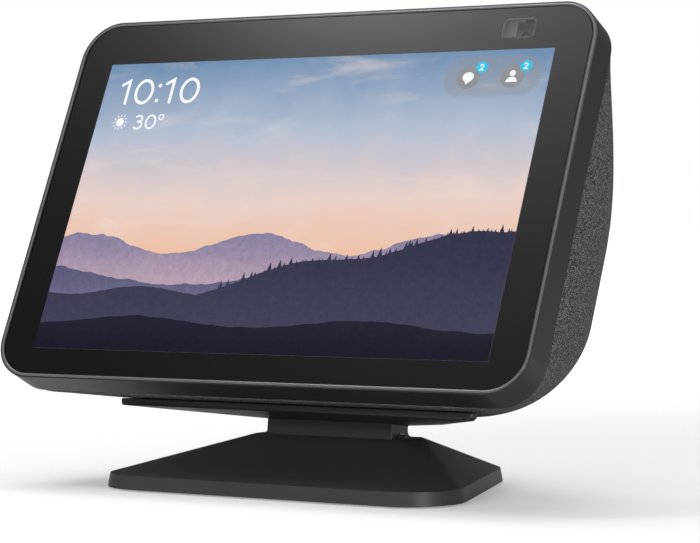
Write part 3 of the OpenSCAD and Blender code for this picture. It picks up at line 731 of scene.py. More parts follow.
def rounded_outline(
    half_w: float, low: float, high: float, radius: float, arc: int = 16, along: tuple[int, int] = (1, 1)
) -> list[Point2]:
    """Draws a rectangle with round corners, anticlockwise from the lower right corner.

    Args:
        half_w: half the width.
        low: the lower edge.
        high: the upper edge.
        radius: corner radius.
        arc: steps in each corner.
        along: extra steps on the upright and on the level sides.

    Returns:
        Points (x, up); the count depends only on arc and along.
    """
    r = max(min(radius, half_w - 1e-6, (high - low) / 2 - 1e-6), 1e-6)
    corners = (
        (half_w - r, low + r, -90),
        (half_w - r, high - r, 0),
        (-half_w + r, high - r, 90),
        (-half_w + r, low + r, 180),
    )
    points: list[Point2] = []
    for k, (cx, cz, start) in enumerate(corners):
        for i in range(arc + 1):
            turn = math.radians(start + 90 * i / arc)
            points.append((cx + r * math.cos(turn), cz + r * math.sin(turn)))
        ahead = corners[(k + 1) % 4]
        turn = math.radians(start + 90)
        first = points[-1]
        last = (ahead[0] + r * math.cos(turn), ahead[1] + r * math.sin(turn))
        steps = along[k % 2]
        points += [
            (first[0] + (last[0] - first[0]) * j / steps, first[1] + (last[1] - first[1]) * j / steps)
            for j in range(1, steps)
        ]
    return points


def make_piece(
    name: str,
    points: Sequence[Point3],
    faces: Sequence[Sequence[int]],
    material: bpy.types.Material,
    place: Matrix | None = None,
    sharp_deg: float = 35.0,
    uvs: Sequence[Point2] | None = None,
) -> bpy.types.Object:
    """Makes one mesh object, smooth apart from its sharp edges.

    Args:
        name: the piece's name.
        points: vertices in metres.
        faces: vertex numbers of each face.
        material: its finish.
        place: where its own axes lie in the frame.
        sharp_deg: edges that turn by more than this stay sharp.
        uvs: one (u, v) per vertex, in metres.

    Returns:
        The object, linked to the scene.
    """
    mesh = bpy.data.meshes.new(name)
    mesh.from_pydata([tuple(p) for p in points], [], [tuple(f) for f in faces])
    mesh.validate()
    if uvs is not None:
        layer = mesh.uv_layers.new(name="UVMap")
        for loop in mesh.loops:
            layer.data[loop.index].uv = uvs[loop.vertex_index]
    mesh.materials.append(material)
    mesh.shade_smooth()
    mesh.set_sharp_from_angle(angle=math.radians(sharp_deg))
    piece = bpy.data.objects.new(name, mesh)
    bpy.context.scene.collection.objects.link(piece)
    if place is not None:
        piece.matrix_world = place
    return piece


def loft(rings: Sequence[Sequence[Point3]], closed: bool = False, capped: bool = True) -> tuple[list, list]:
    """Joins closed rings of points into one skin.

    Args:
        rings: rings with the same number of points.
        closed: True if the last ring joins back to the first.
        capped: True if the end rings are filled.

    Returns:
        Points and faces.
    """
    count = len(rings[0])
    points = [p for ring in rings for p in ring]
    faces: list[tuple[int, ...]] = []
    spans = len(rings) if closed else len(rings) - 1
    for k in range(spans):
        a, b = k * count, (k + 1) % len(rings) * count
        for i in range(count):
            j = (i + 1) % count
            faces.append((a + i, a + j, b + j, b + i))
    if capped and not closed:
        faces.append(tuple(range(count - 1, -1, -1)))
        faces.append(tuple(range((len(rings) - 1) * count, len(rings) * count)))
    return points, faces


def apply_modifiers(piece: bpy.types.Object) -> None:
    """Replaces a piece's mesh by what its modifiers make of it."""
    graph = bpy.context.evaluated_depsgraph_get()
    mesh = bpy.data.meshes.new_from_object(piece.evaluated_get(graph), depsgraph=graph)
    piece.modifiers.clear()
    old = piece.data
    piece.data = mesh
    bpy.data.meshes.remove(old)


def softened(
    node: bpy.types.Object,
    name: str,
    material: bpy.types.Material,
    width_mm: float,
    wider: Callable[[Vector], float] | None = None,
    segments: int = 3,
    clamp: bool = True,
) -> bpy.types.Object:
    """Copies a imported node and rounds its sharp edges, as moulding does.

    Args:
        node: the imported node, which stays as it is.
        name: the new piece's name.
        material: its finish.
        width_mm: how wide the roundings are.
        wider: gives the share of the width, 0 to 1, at an edge's middle.
        segments: steps in each rounding.
        clamp: False if roundings may run as wide as asked past short edges.

    Returns:
        The new piece.
    """
    mesh = node.data.copy()
    mesh.name = name
    shape = bmesh.new()
    shape.from_mesh(mesh)
    bmesh.ops.remove_doubles(shape, verts=shape.verts, dist=2e-6)
    bmesh.ops.dissolve_limit(
        shape, angle_limit=math.radians(0.6), verts=shape.verts, edges=shape.edges
    )
    weights = shape.edges.layers.float.new("bevel_weight_edge")
    for edge in shape.edges:
        if len(edge.link_faces) == 2 and edge.calc_face_angle(0.0) > math.radians(24):
            middle = (edge.verts[0].co + edge.verts[1].co) / 2
            edge[weights] = 1.0 if wider is None else wider(middle)
    shape.to_mesh(mesh)
    shape.free()
    mesh.materials.clear()
    mesh.materials.append(material)
    piece = bpy.data.objects.new(name, mesh)
    bpy.context.scene.collection.objects.link(piece)
    bevel = piece.modifiers.new("rounding", "BEVEL")
    bevel.limit_method = "WEIGHT"
    bevel.width = width_mm * MM
    bevel.segments = segments
    bevel.use_clamp_overlap = clamp
    bevel.miter_outer = "MITER_ARC"
    apply_modifiers(piece)
    piece.data.shade_smooth()
    piece.data.set_sharp_from_angle(angle=math.radians(40))
    flat = piece.modifiers.new("even_shading", "WEIGHTED_NORMAL")
    flat.keep_sharp = True
    apply_modifiers(piece)
    return piece


def thin_plate(
    name: str,
    points: Sequence[Point2],
    faces: Sequence[Sequence[int]],
    front: float,
    thick: float,
    material: bpy.types.Material,
    place: Matrix,
) -> bpy.types.Object:
    """Makes a thin closed plate from a flat drawing on the face.

    Args:
        name: the piece's name.
        points: (x, up) points.
        faces: faces of the drawing, anticlockwise as seen from the front.
        front: depth of its front behind the face.
        thick: its thickness.
        material: its finish.
        place: the face's place in the frame.

    Returns:
        The piece.
    """
    shape = bmesh.new()
    verts = [shape.verts.new((x, front, z)) for x, z in points]
    flats = [shape.faces.new([verts[i] for i in face]) for face in faces]
    made = bmesh.ops.extrude_face_region(shape, geom=flats, use_keep_orig=True)
    moved = [g for g in made["geom"] if isinstance(g, bmesh.types.BMVert)]
    bmesh.ops.translate(shape, verts=moved, vec=(0.0, thick, 0.0))
    bmesh.ops.recalc_face_normals(shape, faces=shape.faces)
    mesh = bpy.data.meshes.new(name)
    shape.to_mesh(mesh)
    shape.free()
    mesh.materials.append(material)
    piece = bpy.data.objects.new(name, mesh)
    bpy.context.scene.collection.objects.link(piece)
    piece.matrix_world = place
    return piece


def stroke(path: Sequence[Point2], width: float, closed: bool = False) -> tuple[list, list]:
    """Draws a line of even width with round ends.

    Args:
        path: points of its middle line.
        width: its width.
        closed: True for a ring.

    Returns:
        Points and faces of the flat drawing.
    """
    half = width / 2
    count = len(path)
    points: list[Point2] = []
    for i, (x, z) in enumerate(path):
        before = path[i - 1] if closed or i else path[i]
        after = path[(i + 1) % count] if closed or i < count - 1 else path[i]
        one = Vector((x - before[0], z - before[1]))
        two = Vector((after[0] - x, after[1] - z))
        one = one.normalized() if one.length > 0 else two.normalized()
        two = two.normalized() if two.length > 0 else one
        way = (one + two).normalized()
        reach = half / max(math.sqrt((1 + one.dot(two)) / 2), 0.45)
        points += [(x - way.y * reach, z + way.x * reach), (x + way.y * reach, z - way.x * reach)]
    faces = [
        (2 * i, 2 * i + 1, 2 * ((i + 1) % count) + 1, 2 * ((i + 1) % count))
        for i in range(count if closed else count - 1)
    ]
    if not closed:
        for end, toward, pair in ((0, 1, (0, 1)), (count - 1, count - 2, (2 * count - 1, 2 * count - 2))):
            x, z = path[end]
            away = math.atan2(z - path[toward][1], x - path[toward][0])
            start = len(points)
            points += [
                (x + half * math.cos(away + math.radians(a)), z + half * math.sin(away + math.radians(a)))
                for a in (-60, -30, 0, 30, 60)
            ]
            faces.append((pair[0], *range(start + 4, start - 1, -1), pair[1]))
    return points, faces


def disc(x: float, z: float, radius: float, steps: int = 40) -> tuple[list, list]:
    """Draws a filled circle and returns its points and its one face."""
    points = [
        (x + radius * math.cos(math.tau * i / steps), z + radius * math.sin(math.tau * i / steps))
        for i in range(steps)
    ]
    return points, [tuple(range(steps))]


def gather(*drawings: tuple[list, list]) -> tuple[list, list]:
    """Puts several flat drawings together as one."""
    points: list[Point2] = []
    faces: list[tuple[int, ...]] = []
    for more, fresh in drawings:
        start = len(points)
        points += more
        faces += [tuple(i + start for i in face) for face in fresh]
    return points, faces


def bow(cx: float, cz: float, rx: float, rz: float, start: float, end: float, steps: int) -> list[Point2]:
    """Gives points on part of an ellipse, from start to end in degrees."""
    return [
        (
            cx + rx * math.cos(math.radians(start + (end - start) * i / steps)),
            cz + rz * math.sin(math.radians(start + (end - start) * i / steps)),
        )
        for i in range(steps + 1)
    ]


def lathe(profile: Sequence[Point2], steps: int = 48) -> tuple[list, list]:
    """Turns a profile of (radius, height) round the Z axis; its ends lie on the axis.

    Args:
        profile: points from the lower end to the upper end.
        steps: steps round the axis.

    Returns:
        Points and faces.
    """
    inner = [p for p in profile if p[0] > 0]
    points: list[Point3] = [
        (r * math.cos(math.tau * i / steps), r * math.sin(math.tau * i / steps), h)
        for r, h in inner
        for i in range(steps)
    ]
    faces = [
        (k * steps + i, k * steps + (i + 1) % steps, (k + 1) * steps + (i + 1) % steps, (k + 1) * steps + i)
        for k in range(len(inner) - 1)
        for i in range(steps)
    ]
    faces.append(tuple(range(steps - 1, -1, -1)))
    faces.append(tuple(range((len(inner) - 1) * steps, len(inner) * steps)))
    return points, faces


# --------------------------------------------------------------------------- placement


@dataclass(frozen=True)
class Placement:
    """The nested axes that the frame is built on."""

    hinge_y: float = 4.2 * MM
    hinge_z: float = 14.5 * MM
    tilt_deg: float = 7.2
    dock_front: float = 62.8 * MM
    dock_rise: float = 10.8 * MM
    chin: float = 4 * MM
    lean_deg: float = 18.0

    def tilted(self) -> Matrix:
        """Axes of the tilt plate, with their origin on the hinge."""
        return Matrix.Translation((0, self.hinge_y, self.hinge_z)) @ Matrix.Rotation(
            -math.radians(self.tilt_deg), 4, "X"
        )

    def face(self) -> Matrix:
        """Axes of the face: X right, Y the depth behind it, Z up it."""
        return (
            self.tilted()
            @ Matrix.Translation((0, -self.dock_front, self.dock_rise + self.chin))
            @ Matrix.Rotation(-math.radians(self.lean_deg), 4, "X")
        )


class Build:
    """What every sub-assembly needs: the frame, the materials and the axes."""

    def __init__(self, frame: dict) -> None:
        """Keeps the loaded frame.
        """
        self.nodes = frame["nodes"]
        self.palette = Palette()
        self.place = Placement()
        self.count = 0

    def settle(self, piece: bpy.types.Object, body: str, slot: str, *nodes: str) -> bpy.types.Object:
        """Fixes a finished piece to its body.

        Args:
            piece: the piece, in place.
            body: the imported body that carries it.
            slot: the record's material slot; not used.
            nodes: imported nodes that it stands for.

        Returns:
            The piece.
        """
        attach(piece, body)
        if nodes:
            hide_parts(*nodes)
        self.count += 1
        log.info("%s rides on %s", piece.name, body)
        return piece

    def dress(self, finish: object, *nodes: str) -> None:
        """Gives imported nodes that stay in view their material.

        Args:
            finish: the finish.
            nodes: names of the nodes.
        """
        for name in nodes:
            mesh = self.nodes[name].data
            mesh.materials.clear()
            mesh.materials.append(self.palette.of(finish))
            mesh.shade_smooth()
            mesh.set_sharp_from_angle(angle=math.radians(30))
            log.info("%s dressed in %s", name, finish.name)


# ------------------------------------------------------------------------- front frame


@dataclass
class FrontBand:
    """The frame round the glass: a lip in front and a plain band behind it."""

    width: float = 200.4 * MM
    height: float = 135.2 * MM
    lip: float = 1.2 * MM
    front_round: float = 0.55
    corner_r: float = 14.0 * MM
    crest_inset: float = 0.5 * MM
    crest_w: float = 0.9 * MM
    crest_h: float = 0.16 * MM
    crest_y: float = 0.0

    def _share(self, face: Matrix) -> Callable[[Vector], float]:
        """Says how wide the rounding is at each edge: widest round the front."""
        back = face.inverted()

        def share(middle: Vector) -> float:
            """Gives the share of the widest rounding at a point of the frame."""
            p = back @ middle
            outside = min(self.width / 2 - abs(p.x), p.z, self.height - p.z)
            if p.y < 0.1 * MM and outside < 5 * MM:
                return 1.0 if outside < 0.8 * self.lip or self._in_corner(p) else 0.3
            return 0.3 if p.y < 3 * MM else 0.35

        return share

    def _in_corner(self, p: Vector) -> bool:
        """Says if a front edge in a corner is the outer one."""
        cx, cz = self.width / 2 - 14 * MM, self.height / 2 - 14 * MM
        dx, dz = abs(p.x) - cx, abs(p.z - self.height / 2) - cz
        return dx > 0 and dz > 0 and math.hypot(dx, dz) > 13.4 * MM

    def build(self, build: Build) -> None:
        """Makes the frame.

        Args:
            build: the shared parts of the build.
        """
        piece = softened(
            build.nodes["front_frame"],
            "front_band",
            build.palette.of(FRAME_ABS),
            self.front_round,
            self._share(build.place.face()),
            4,
        )
        build.settle(piece, "display", "frame_plastic", "front_frame")
        self._lay_crest_painted_highlight(build)

    def _lay_crest_painted_highlight(self, build: Build) -> None:
        """Lays the lip's crest: a thin half-round line right round the glass, in a lighter colour that is a
        painted highlight.
        """
        rings = []
        for i in range(7):
            turn = math.radians(180 * i / 6)
            inset = self.crest_inset + self.crest_w / 2 * (1 - math.cos(turn))
            rings.append(
                [
                    (x, self.crest_y - self.crest_h * math.sin(turn), z)
                    for x, z in rounded_outline(
                        self.width / 2 - inset,
                        inset,
                        self.height - inset,
                        self.corner_r - inset,
                        20,
                    )
                ]
            )
        points, faces = loft(rings, closed=True, capped=False)
        crest = make_piece(
            "lip_crest", points, faces, build.palette.of(LIP_PAINTED_HIGHLIGHT), build.place.face(), 60
        )
        build.settle(crest, "display", "frame_plastic")


# ------------------------------------------------------------------------- cover glass


@dataclass
class CoverGlass:
    """The satin glass with its printed border and the camera's clear window."""

    half_w: float = 98.3 * MM
    low: float = 1.6 * MM
    high: float = 134.0 * MM
    radius: float = 12.1 * MM
    front: float = 0.2 * MM
    thick: float = 1.1 * MM
    edge: float = 0.25 * MM
    window_x: float = 71.7 * MM
    window_z: float = 126.2 * MM
    window_w: float = 11.4 * MM
    window_h: float = 6.8 * MM
    window_r: float = 1.6 * MM

    def _ring(self, inset: float, depth: float) -> list[Point3]:
        """Gives the glass outline at a depth, drawn in by an inset."""
        return [
            (x, depth, z)
            for x, z in rounded_outline(
                self.half_w - inset, self.low + inset, self.high - inset, self.radius - inset, 20
            )
        ]

    def _pane(self, build: Build) -> None:
        """Makes the pane with a polished edge and cuts the window through it."""
        rings = [self._ring(0.3 * self.edge, self.front + self.thick)]
        rings += [self._ring(0.0, self.front + self.thick - 0.3 * self.edge)]
        for i in range(6):
            turn = math.radians(90 * i / 5)
            rings.append(
                self._ring(
                    self.edge * (1 - math.cos(turn)), self.front + self.edge * (1 - math.sin(turn))
                )
            )
        rings.append(self._ring(self.edge + 0.05 * MM, self.front))
        points, faces = loft(rings)
        pane = make_piece(
            "cover_glass_pane", points, faces, build.palette.of(InkedGlass()), build.place.face()
        )
        cutter = self._window("window_cutter", -1 * MM, 4 * MM, 0.0, build, InkedGlass())
        cut = pane.modifiers.new("window", "BOOLEAN")
        cut.operation = "DIFFERENCE"
        cut.solver = "EXACT"
        cut.object = cutter
        apply_modifiers(pane)
        bpy.data.objects.remove(cutter)
        pane.data.set_sharp_from_angle(angle=math.radians(30))
        build.settle(pane, "display", "cover_glass", "cover_glass")

    def _window(
        self, name: str, front: float, thick: float, grow: float, build: Build, finish: object
    ) -> bpy.types.Object:
        """Makes a plate with the window's outline.

        Args:
            name: the piece's name.
            front: depth of its front.
            thick: its thickness.
            grow: how much larger than the window it is on each side.
            build: the shared parts of the build.
            finish: its finish.

        Returns:
            The plate.
        """
        outline = [
            (self.window_x + x, self.window_z + z)
            for x, z in rounded_outline(
                self.window_w / 2 + grow,
                -self.window_h / 2 - grow,
                self.window_h / 2 + grow,
                self.window_r + grow,
                10,
            )
        ]
        faces = [tuple(range(len(outline)))]
        return thin_plate(
            name, outline, faces, front, thick, build.palette.of(finish), build.place.face()
        )

    def build(self, build: Build) -> None:
        """Makes the pane and its window.

        Args:
            build: the shared parts of the build.
        """
        self._pane(build)
        coated = ClearGlass("satin_window_glass", "e0e2e6", 0.1, 0.4, 0.035)
        insert = self._window(
            "camera_window", self.front, 0.5 * MM, -0.02 * MM, build, coated
        )
        build.settle(insert, "display", "lens_glass")
        rim = thin_plate(
            "camera_window_rim",
            *stroke(
                [
                    (self.window_x + x, self.window_z + z)
                    for x, z in rounded_outline(
                        self.window_w / 2, -self.window_h / 2, self.window_h / 2, self.window_r, 10
                    )
                ],
                0.28 * MM,
                True,
            ),
            self.front - 0.02 * MM,
            0.01 * MM,
            build.palette.of(Finish("grey_window_print", "444547", "505153", 0.4)),
            build.place.face(),
        )
        build.settle(rim, "display", "cover_glass")


# ------------------------------------------------------------------------- home screen


@dataclass
class HomeScreen:
    """The lit picture: an evening valley, a clock, the weather and two round marks."""

    half_w: float = 86.15 * MM
    low: float = 10.75 * MM
    high: float = 118.45 * MM
    glass: float = 0.2 * MM
    layer: float = 0.012 * MM
    seed: int = 20
    ink: LitInk = field(default_factory=lambda: LitInk("lit_white_marks", "f7f9fb"))

    def _spot(self, u: float, v: float) -> Point2:
        """Turns shares of the picture, right and up, into a place on the face."""
        return (2 * u - 1) * self.half_w, self.low + v * (self.high - self.low)

    def _plate(self, build: Build, name: str, drawing: tuple[list, list], level: int, finish: object) -> None:
        """Adds one flat layer of the picture.

        Args:
            build: the shared parts of the build.
            name: the piece's name.
            drawing: its points and faces.
            level: how many layers it lies in front of the glass.
            finish: its finish.
        """
        piece = thin_plate(
            name,
            *drawing,
            self.glass - level * self.layer,
            0.6 * self.layer,
            build.palette.of(finish),
            build.place.face(),
        )
        build.settle(piece, "display", "display_cell")

    def _land(
        self, crest: Callable[[float], float], start: float, end: float, steps: int
    ) -> tuple[list, list]:
        """Draws land under a crest line, down to the picture's lower edge.

        Args:
            crest: height of the crest, as a share of the picture, at a share across.
            start: share across where the land begins.
            end: share across where it ends.
            steps: how many strips it is drawn in.

        Returns:
            Points and faces.
        """
        points: list[Point2] = []
        for i in range(steps + 1):
            u = start + (end - start) * i / steps
            points.append(self._spot(u, 0.0))
            points.append(self._spot(u, max(crest(u), 0.002)))
        faces = [(2 * i, 2 * i + 2, 2 * i + 3, 2 * i + 1) for i in range(steps)]
        return points, faces

    def _firs(self, chance: random.Random, start: float, end: float, gap: float, tall: float) -> list:
        """Chooses where firs stand.

        Args:
            chance: the seeded random numbers.
            start: share across where they begin.
            end: share across where they end.
            gap: middle distance between two.
            tall: height of the tallest, as a share of the picture.

        Returns:
            A list of (share across, height).
        """
        firs = []
        u = start
        while u < end:
            firs.append((u, tall * (0.25 + 0.75 * chance.random() ** 1.6)))
            u += gap * (0.4 + 1.2 * chance.random())
        return firs

    def _with_firs(
        self, crest: Callable[[float], float], firs: list, slim: float
    ) -> Callable[[float], float]:
        """Adds the outlines of firs to a crest line.

        Args:
            crest: the bare crest.
            firs: what _firs chose.
            slim: half the width of a fir over its height.

        Returns:
            The crest with its firs.
        """

        def height(u: float) -> float:
            """Gives the height of the crest or of the fir that stands there."""
            top = crest(u)
            for place, tall in firs:
                away = abs(u - place) * 1.6
                if away < tall * slim:
                    # Boughs step in towards the tip
                    share = 1 - away / (tall * slim)
                    bough = 0.16 * math.sin(share * 21 + place * 300)
                    top = max(top, crest(place) + tall * max(0.0, share ** 1.25 + bough * (1 - share)))
            return top

        return height

    def _rolling(self, u: float, level: float, swell: float, waves: float, start: float) -> float:
        """Gives the crest of plain rolling land.

        Args:
            u: share across the picture.
            level: middle height, as a share of the picture.
            swell: how far the crest rises and falls.
            waves: how many swells there are across the picture.
            start: where the first swell begins, in turns.

        Returns:
            The crest's height, as a share of the picture.
        """
        roll = math.sin(math.tau * (waves * u + start))
        rough = noise.fractal(Vector((u * 20, level * 50, 0)), 0.9, 2.0, 4)
        return level + swell * (roll + 0.25 * rough)

    def _peaks(self, u: float) -> float:
        """Gives the crest of the far range."""
        return self._rolling(u, 0.36, 0.035, 2.5, 0.1)

    def _left_hill(self, u: float) -> float:
        """Gives the crest of the low hills in the middle distance."""
        return self._rolling(u, 0.25, 0.03, 1.5, 0.3)

    def _right_hill(self, u: float) -> float:
        """Gives the crest of the wooded hill, which climbs to the right."""
        return 0.3 * max(0.0, u - 0.35) ** 0.8 + self._rolling(u, 0.2, 0.015, 3.0, 0.6)

    def _foreground(self, u: float) -> float:
        """Gives the crest of the near ground."""
        return self._rolling(u, 0.1, 0.015, 2.0, 0.8)

    def _valley(self, build: Build) -> None:
        """Adds the sky and the land."""
        sky = [self._spot(u, v) for u, v in ((0, 0), (1, 0), (1, 1), (0, 1))]
        self._plate(build, "picture_sky", (sky, [(0, 1, 2, 3)]), 1, DuskSky())
        chance = random.Random(self.seed)
        low, tall = self.low, self.high - self.low
        far = HazyGround("lit_far_peaks", "8880a0", "b8a0b0", low + 0.4 * tall, low + 0.2 * tall)
        self._plate(build, "picture_peaks", self._land(self._peaks, 0.0, 1.0, 420), 2, far)
        middle = HazyGround("lit_left_hill", "585878", "787090", low + 0.3 * tall, low + 0.1 * tall)
        self._plate(build, "picture_left_hill", self._land(self._left_hill, 0.0, 1.0, 420), 3, middle)
        wooded = HazyGround("lit_right_hill", "303048", "404058", low + 0.4 * tall, low + 0.05 * tall)
        crest = self._with_firs(self._right_hill, self._firs(chance, 0.4, 1.0, 0.012, 0.03), 0.3)
        self._plate(build, "picture_right_hill", self._land(crest, 0.0, 1.0, 1100), 4, wooded)
        ground = HazyGround("lit_foreground", "202030", "181828", low + 0.12 * tall, low)
        self._plate(build, "picture_foreground", self._land(self._foreground, 0.0, 1.0, 700), 5, ground)

    def _digit(self, mark: str, x: float, base: float, tall: float, weight: float) -> tuple[list, list]:
        """Draws a numeral with an even stroke.

        Args:
            mark: 0, 1, 2, 3 or a colon.
            x: its left side.
            base: its foot.
            tall: its height.
            weight: the stroke's width.

        Returns:
            Points and faces.
        """
        low, top = base + weight / 2, base + tall - weight / 2
        mid = (low + top) / 2
        if mark == "0":
            half = 0.4 * tall - weight / 2
            path = bow(x + 0.4 * tall, mid, half, (top - low) / 2, 0, 360, 48)[:-1]
            return stroke(path, weight, True)
        if mark == "1":
            stem = x + 0.3 * tall
            return stroke([(x + 0.02 * tall, top - 0.16 * tall), (stem, top), (stem, low)], weight)
        if mark == ":":
            return gather(
                disc(x, base + 0.14 * tall, 0.62 * weight), disc(x, base + 0.72 * tall, 0.62 * weight)
            )
        if mark == "2":
            head = bow(x + 0.25 * tall, top - 0.24 * tall, 0.24 * tall, 0.24 * tall, 165, -35, 14)
            return stroke([*head, (x + 0.02 * tall, low), (x + 0.52 * tall, low)], weight)
        upper = bow(x + 0.24 * tall, top - 0.21 * tall, 0.25 * tall, 0.21 * tall, 140, -95, 18)
        lower = bow(x + 0.24 * tall, low + 0.25 * tall, 0.29 * tall, 0.25 * tall, 95, -140, 20)
        return gather(stroke(upper, weight), stroke(lower, weight))

    def _clock(self, build: Build) -> None:
        """Adds the time and the temperature."""
        base, tall, weight = 102.35 * MM, 9.9 * MM, 1.15 * MM
        time = gather(
            self._digit("1", -79.2 * MM, base, tall, weight),
            self._digit("0", -73.2 * MM, base, tall, weight),
            self._digit(":", -63.1 * MM, base, tall, weight),
            self._digit("1", -60.6 * MM, base, tall, weight),
            self._digit("0", -54.2 * MM, base, tall, weight),
        )
        self._plate(build, "clock_numerals", time, 6, self.ink)
        base, tall, weight = 92.6 * MM, 5.7 * MM, 0.72 * MM
        degrees = gather(
            self._digit("3", -69.7 * MM, base, tall, weight),
            self._digit("0", -65.4 * MM, base, tall, weight),
            stroke(bow(-59.1 * MM, 97.2 * MM, 0.95 * MM, 0.95 * MM, 0, 360, 28)[:-1], 0.5 * MM, True),
        )
        self._plate(build, "weather_numerals", degrees, 6, self.ink)
        sun_x, sun_z = -76.0 * MM, 95.6 * MM
        rays = [
            stroke(
                [
                    (sun_x + r * math.cos(a), sun_z + r * math.sin(a))
                    for r in (2.25 * MM, 2.85 * MM)
                ],
                0.34 * MM,
            )
            for a in (math.tau * i / 12 for i in range(12))
        ]
        self._plate(build, "weather_sun", gather(disc(sun_x, sun_z, 1.6 * MM), *rays), 6, self.ink)

    def _round_marks(self, build: Build) -> None:
        """Adds the two round marks, each with a small count beside it."""
        grey = LitInk("lit_grey_discs", "8e8f93")
        cyan = LitInk("lit_cyan_counts", "27c4e4")
        z = 108.7 * MM
        for name, x in (("talk", 57.2 * MM), ("contact", 73.0 * MM)):
            self._plate(build, f"{name}_disc", disc(x, z, 4.2 * MM, 56), 6, grey)
            if name == "talk":
                # An oval bubble with a short tail
                bubble = bow(x, z + 0.2 * MM, 2.0 * MM, 1.75 * MM, -60, 240, 34)
                points = [*bubble, (x - 0.5 * MM, z - 2.5 * MM)]
                mark = (points, [tuple(range(len(points)))])
            else:
                shoulders = bow(x, z - 2.1 * MM, 2.0 * MM, 1.9 * MM, 0, 180, 24)
                body = ([*shoulders], [tuple(range(len(shoulders)))])
                mark = gather(disc(x, z + 1.1 * MM, 1.05 * MM), body)
            self._plate(build, f"{name}_mark", mark, 7, self.ink)
            bx, bz = x + 4.3 * MM, z + 3.6 * MM
            self._plate(build, f"{name}_count_disc", disc(bx, bz, 2.05 * MM), 7, cyan)
            two = self._digit("2", bx - 0.65 * MM, bz - 1.15 * MM, 2.3 * MM, 0.4 * MM)
            self._plate(build, f"{name}_count", two, 8, self.ink)

    def build(self, build: Build) -> None:
        """Makes the picture.

        Args:
            build: the shared parts of the build.
        """
        self._valley(build)
        self._clock(build)
        self._round_marks(build)


# --------------------------------------------------------------------------- cloth back


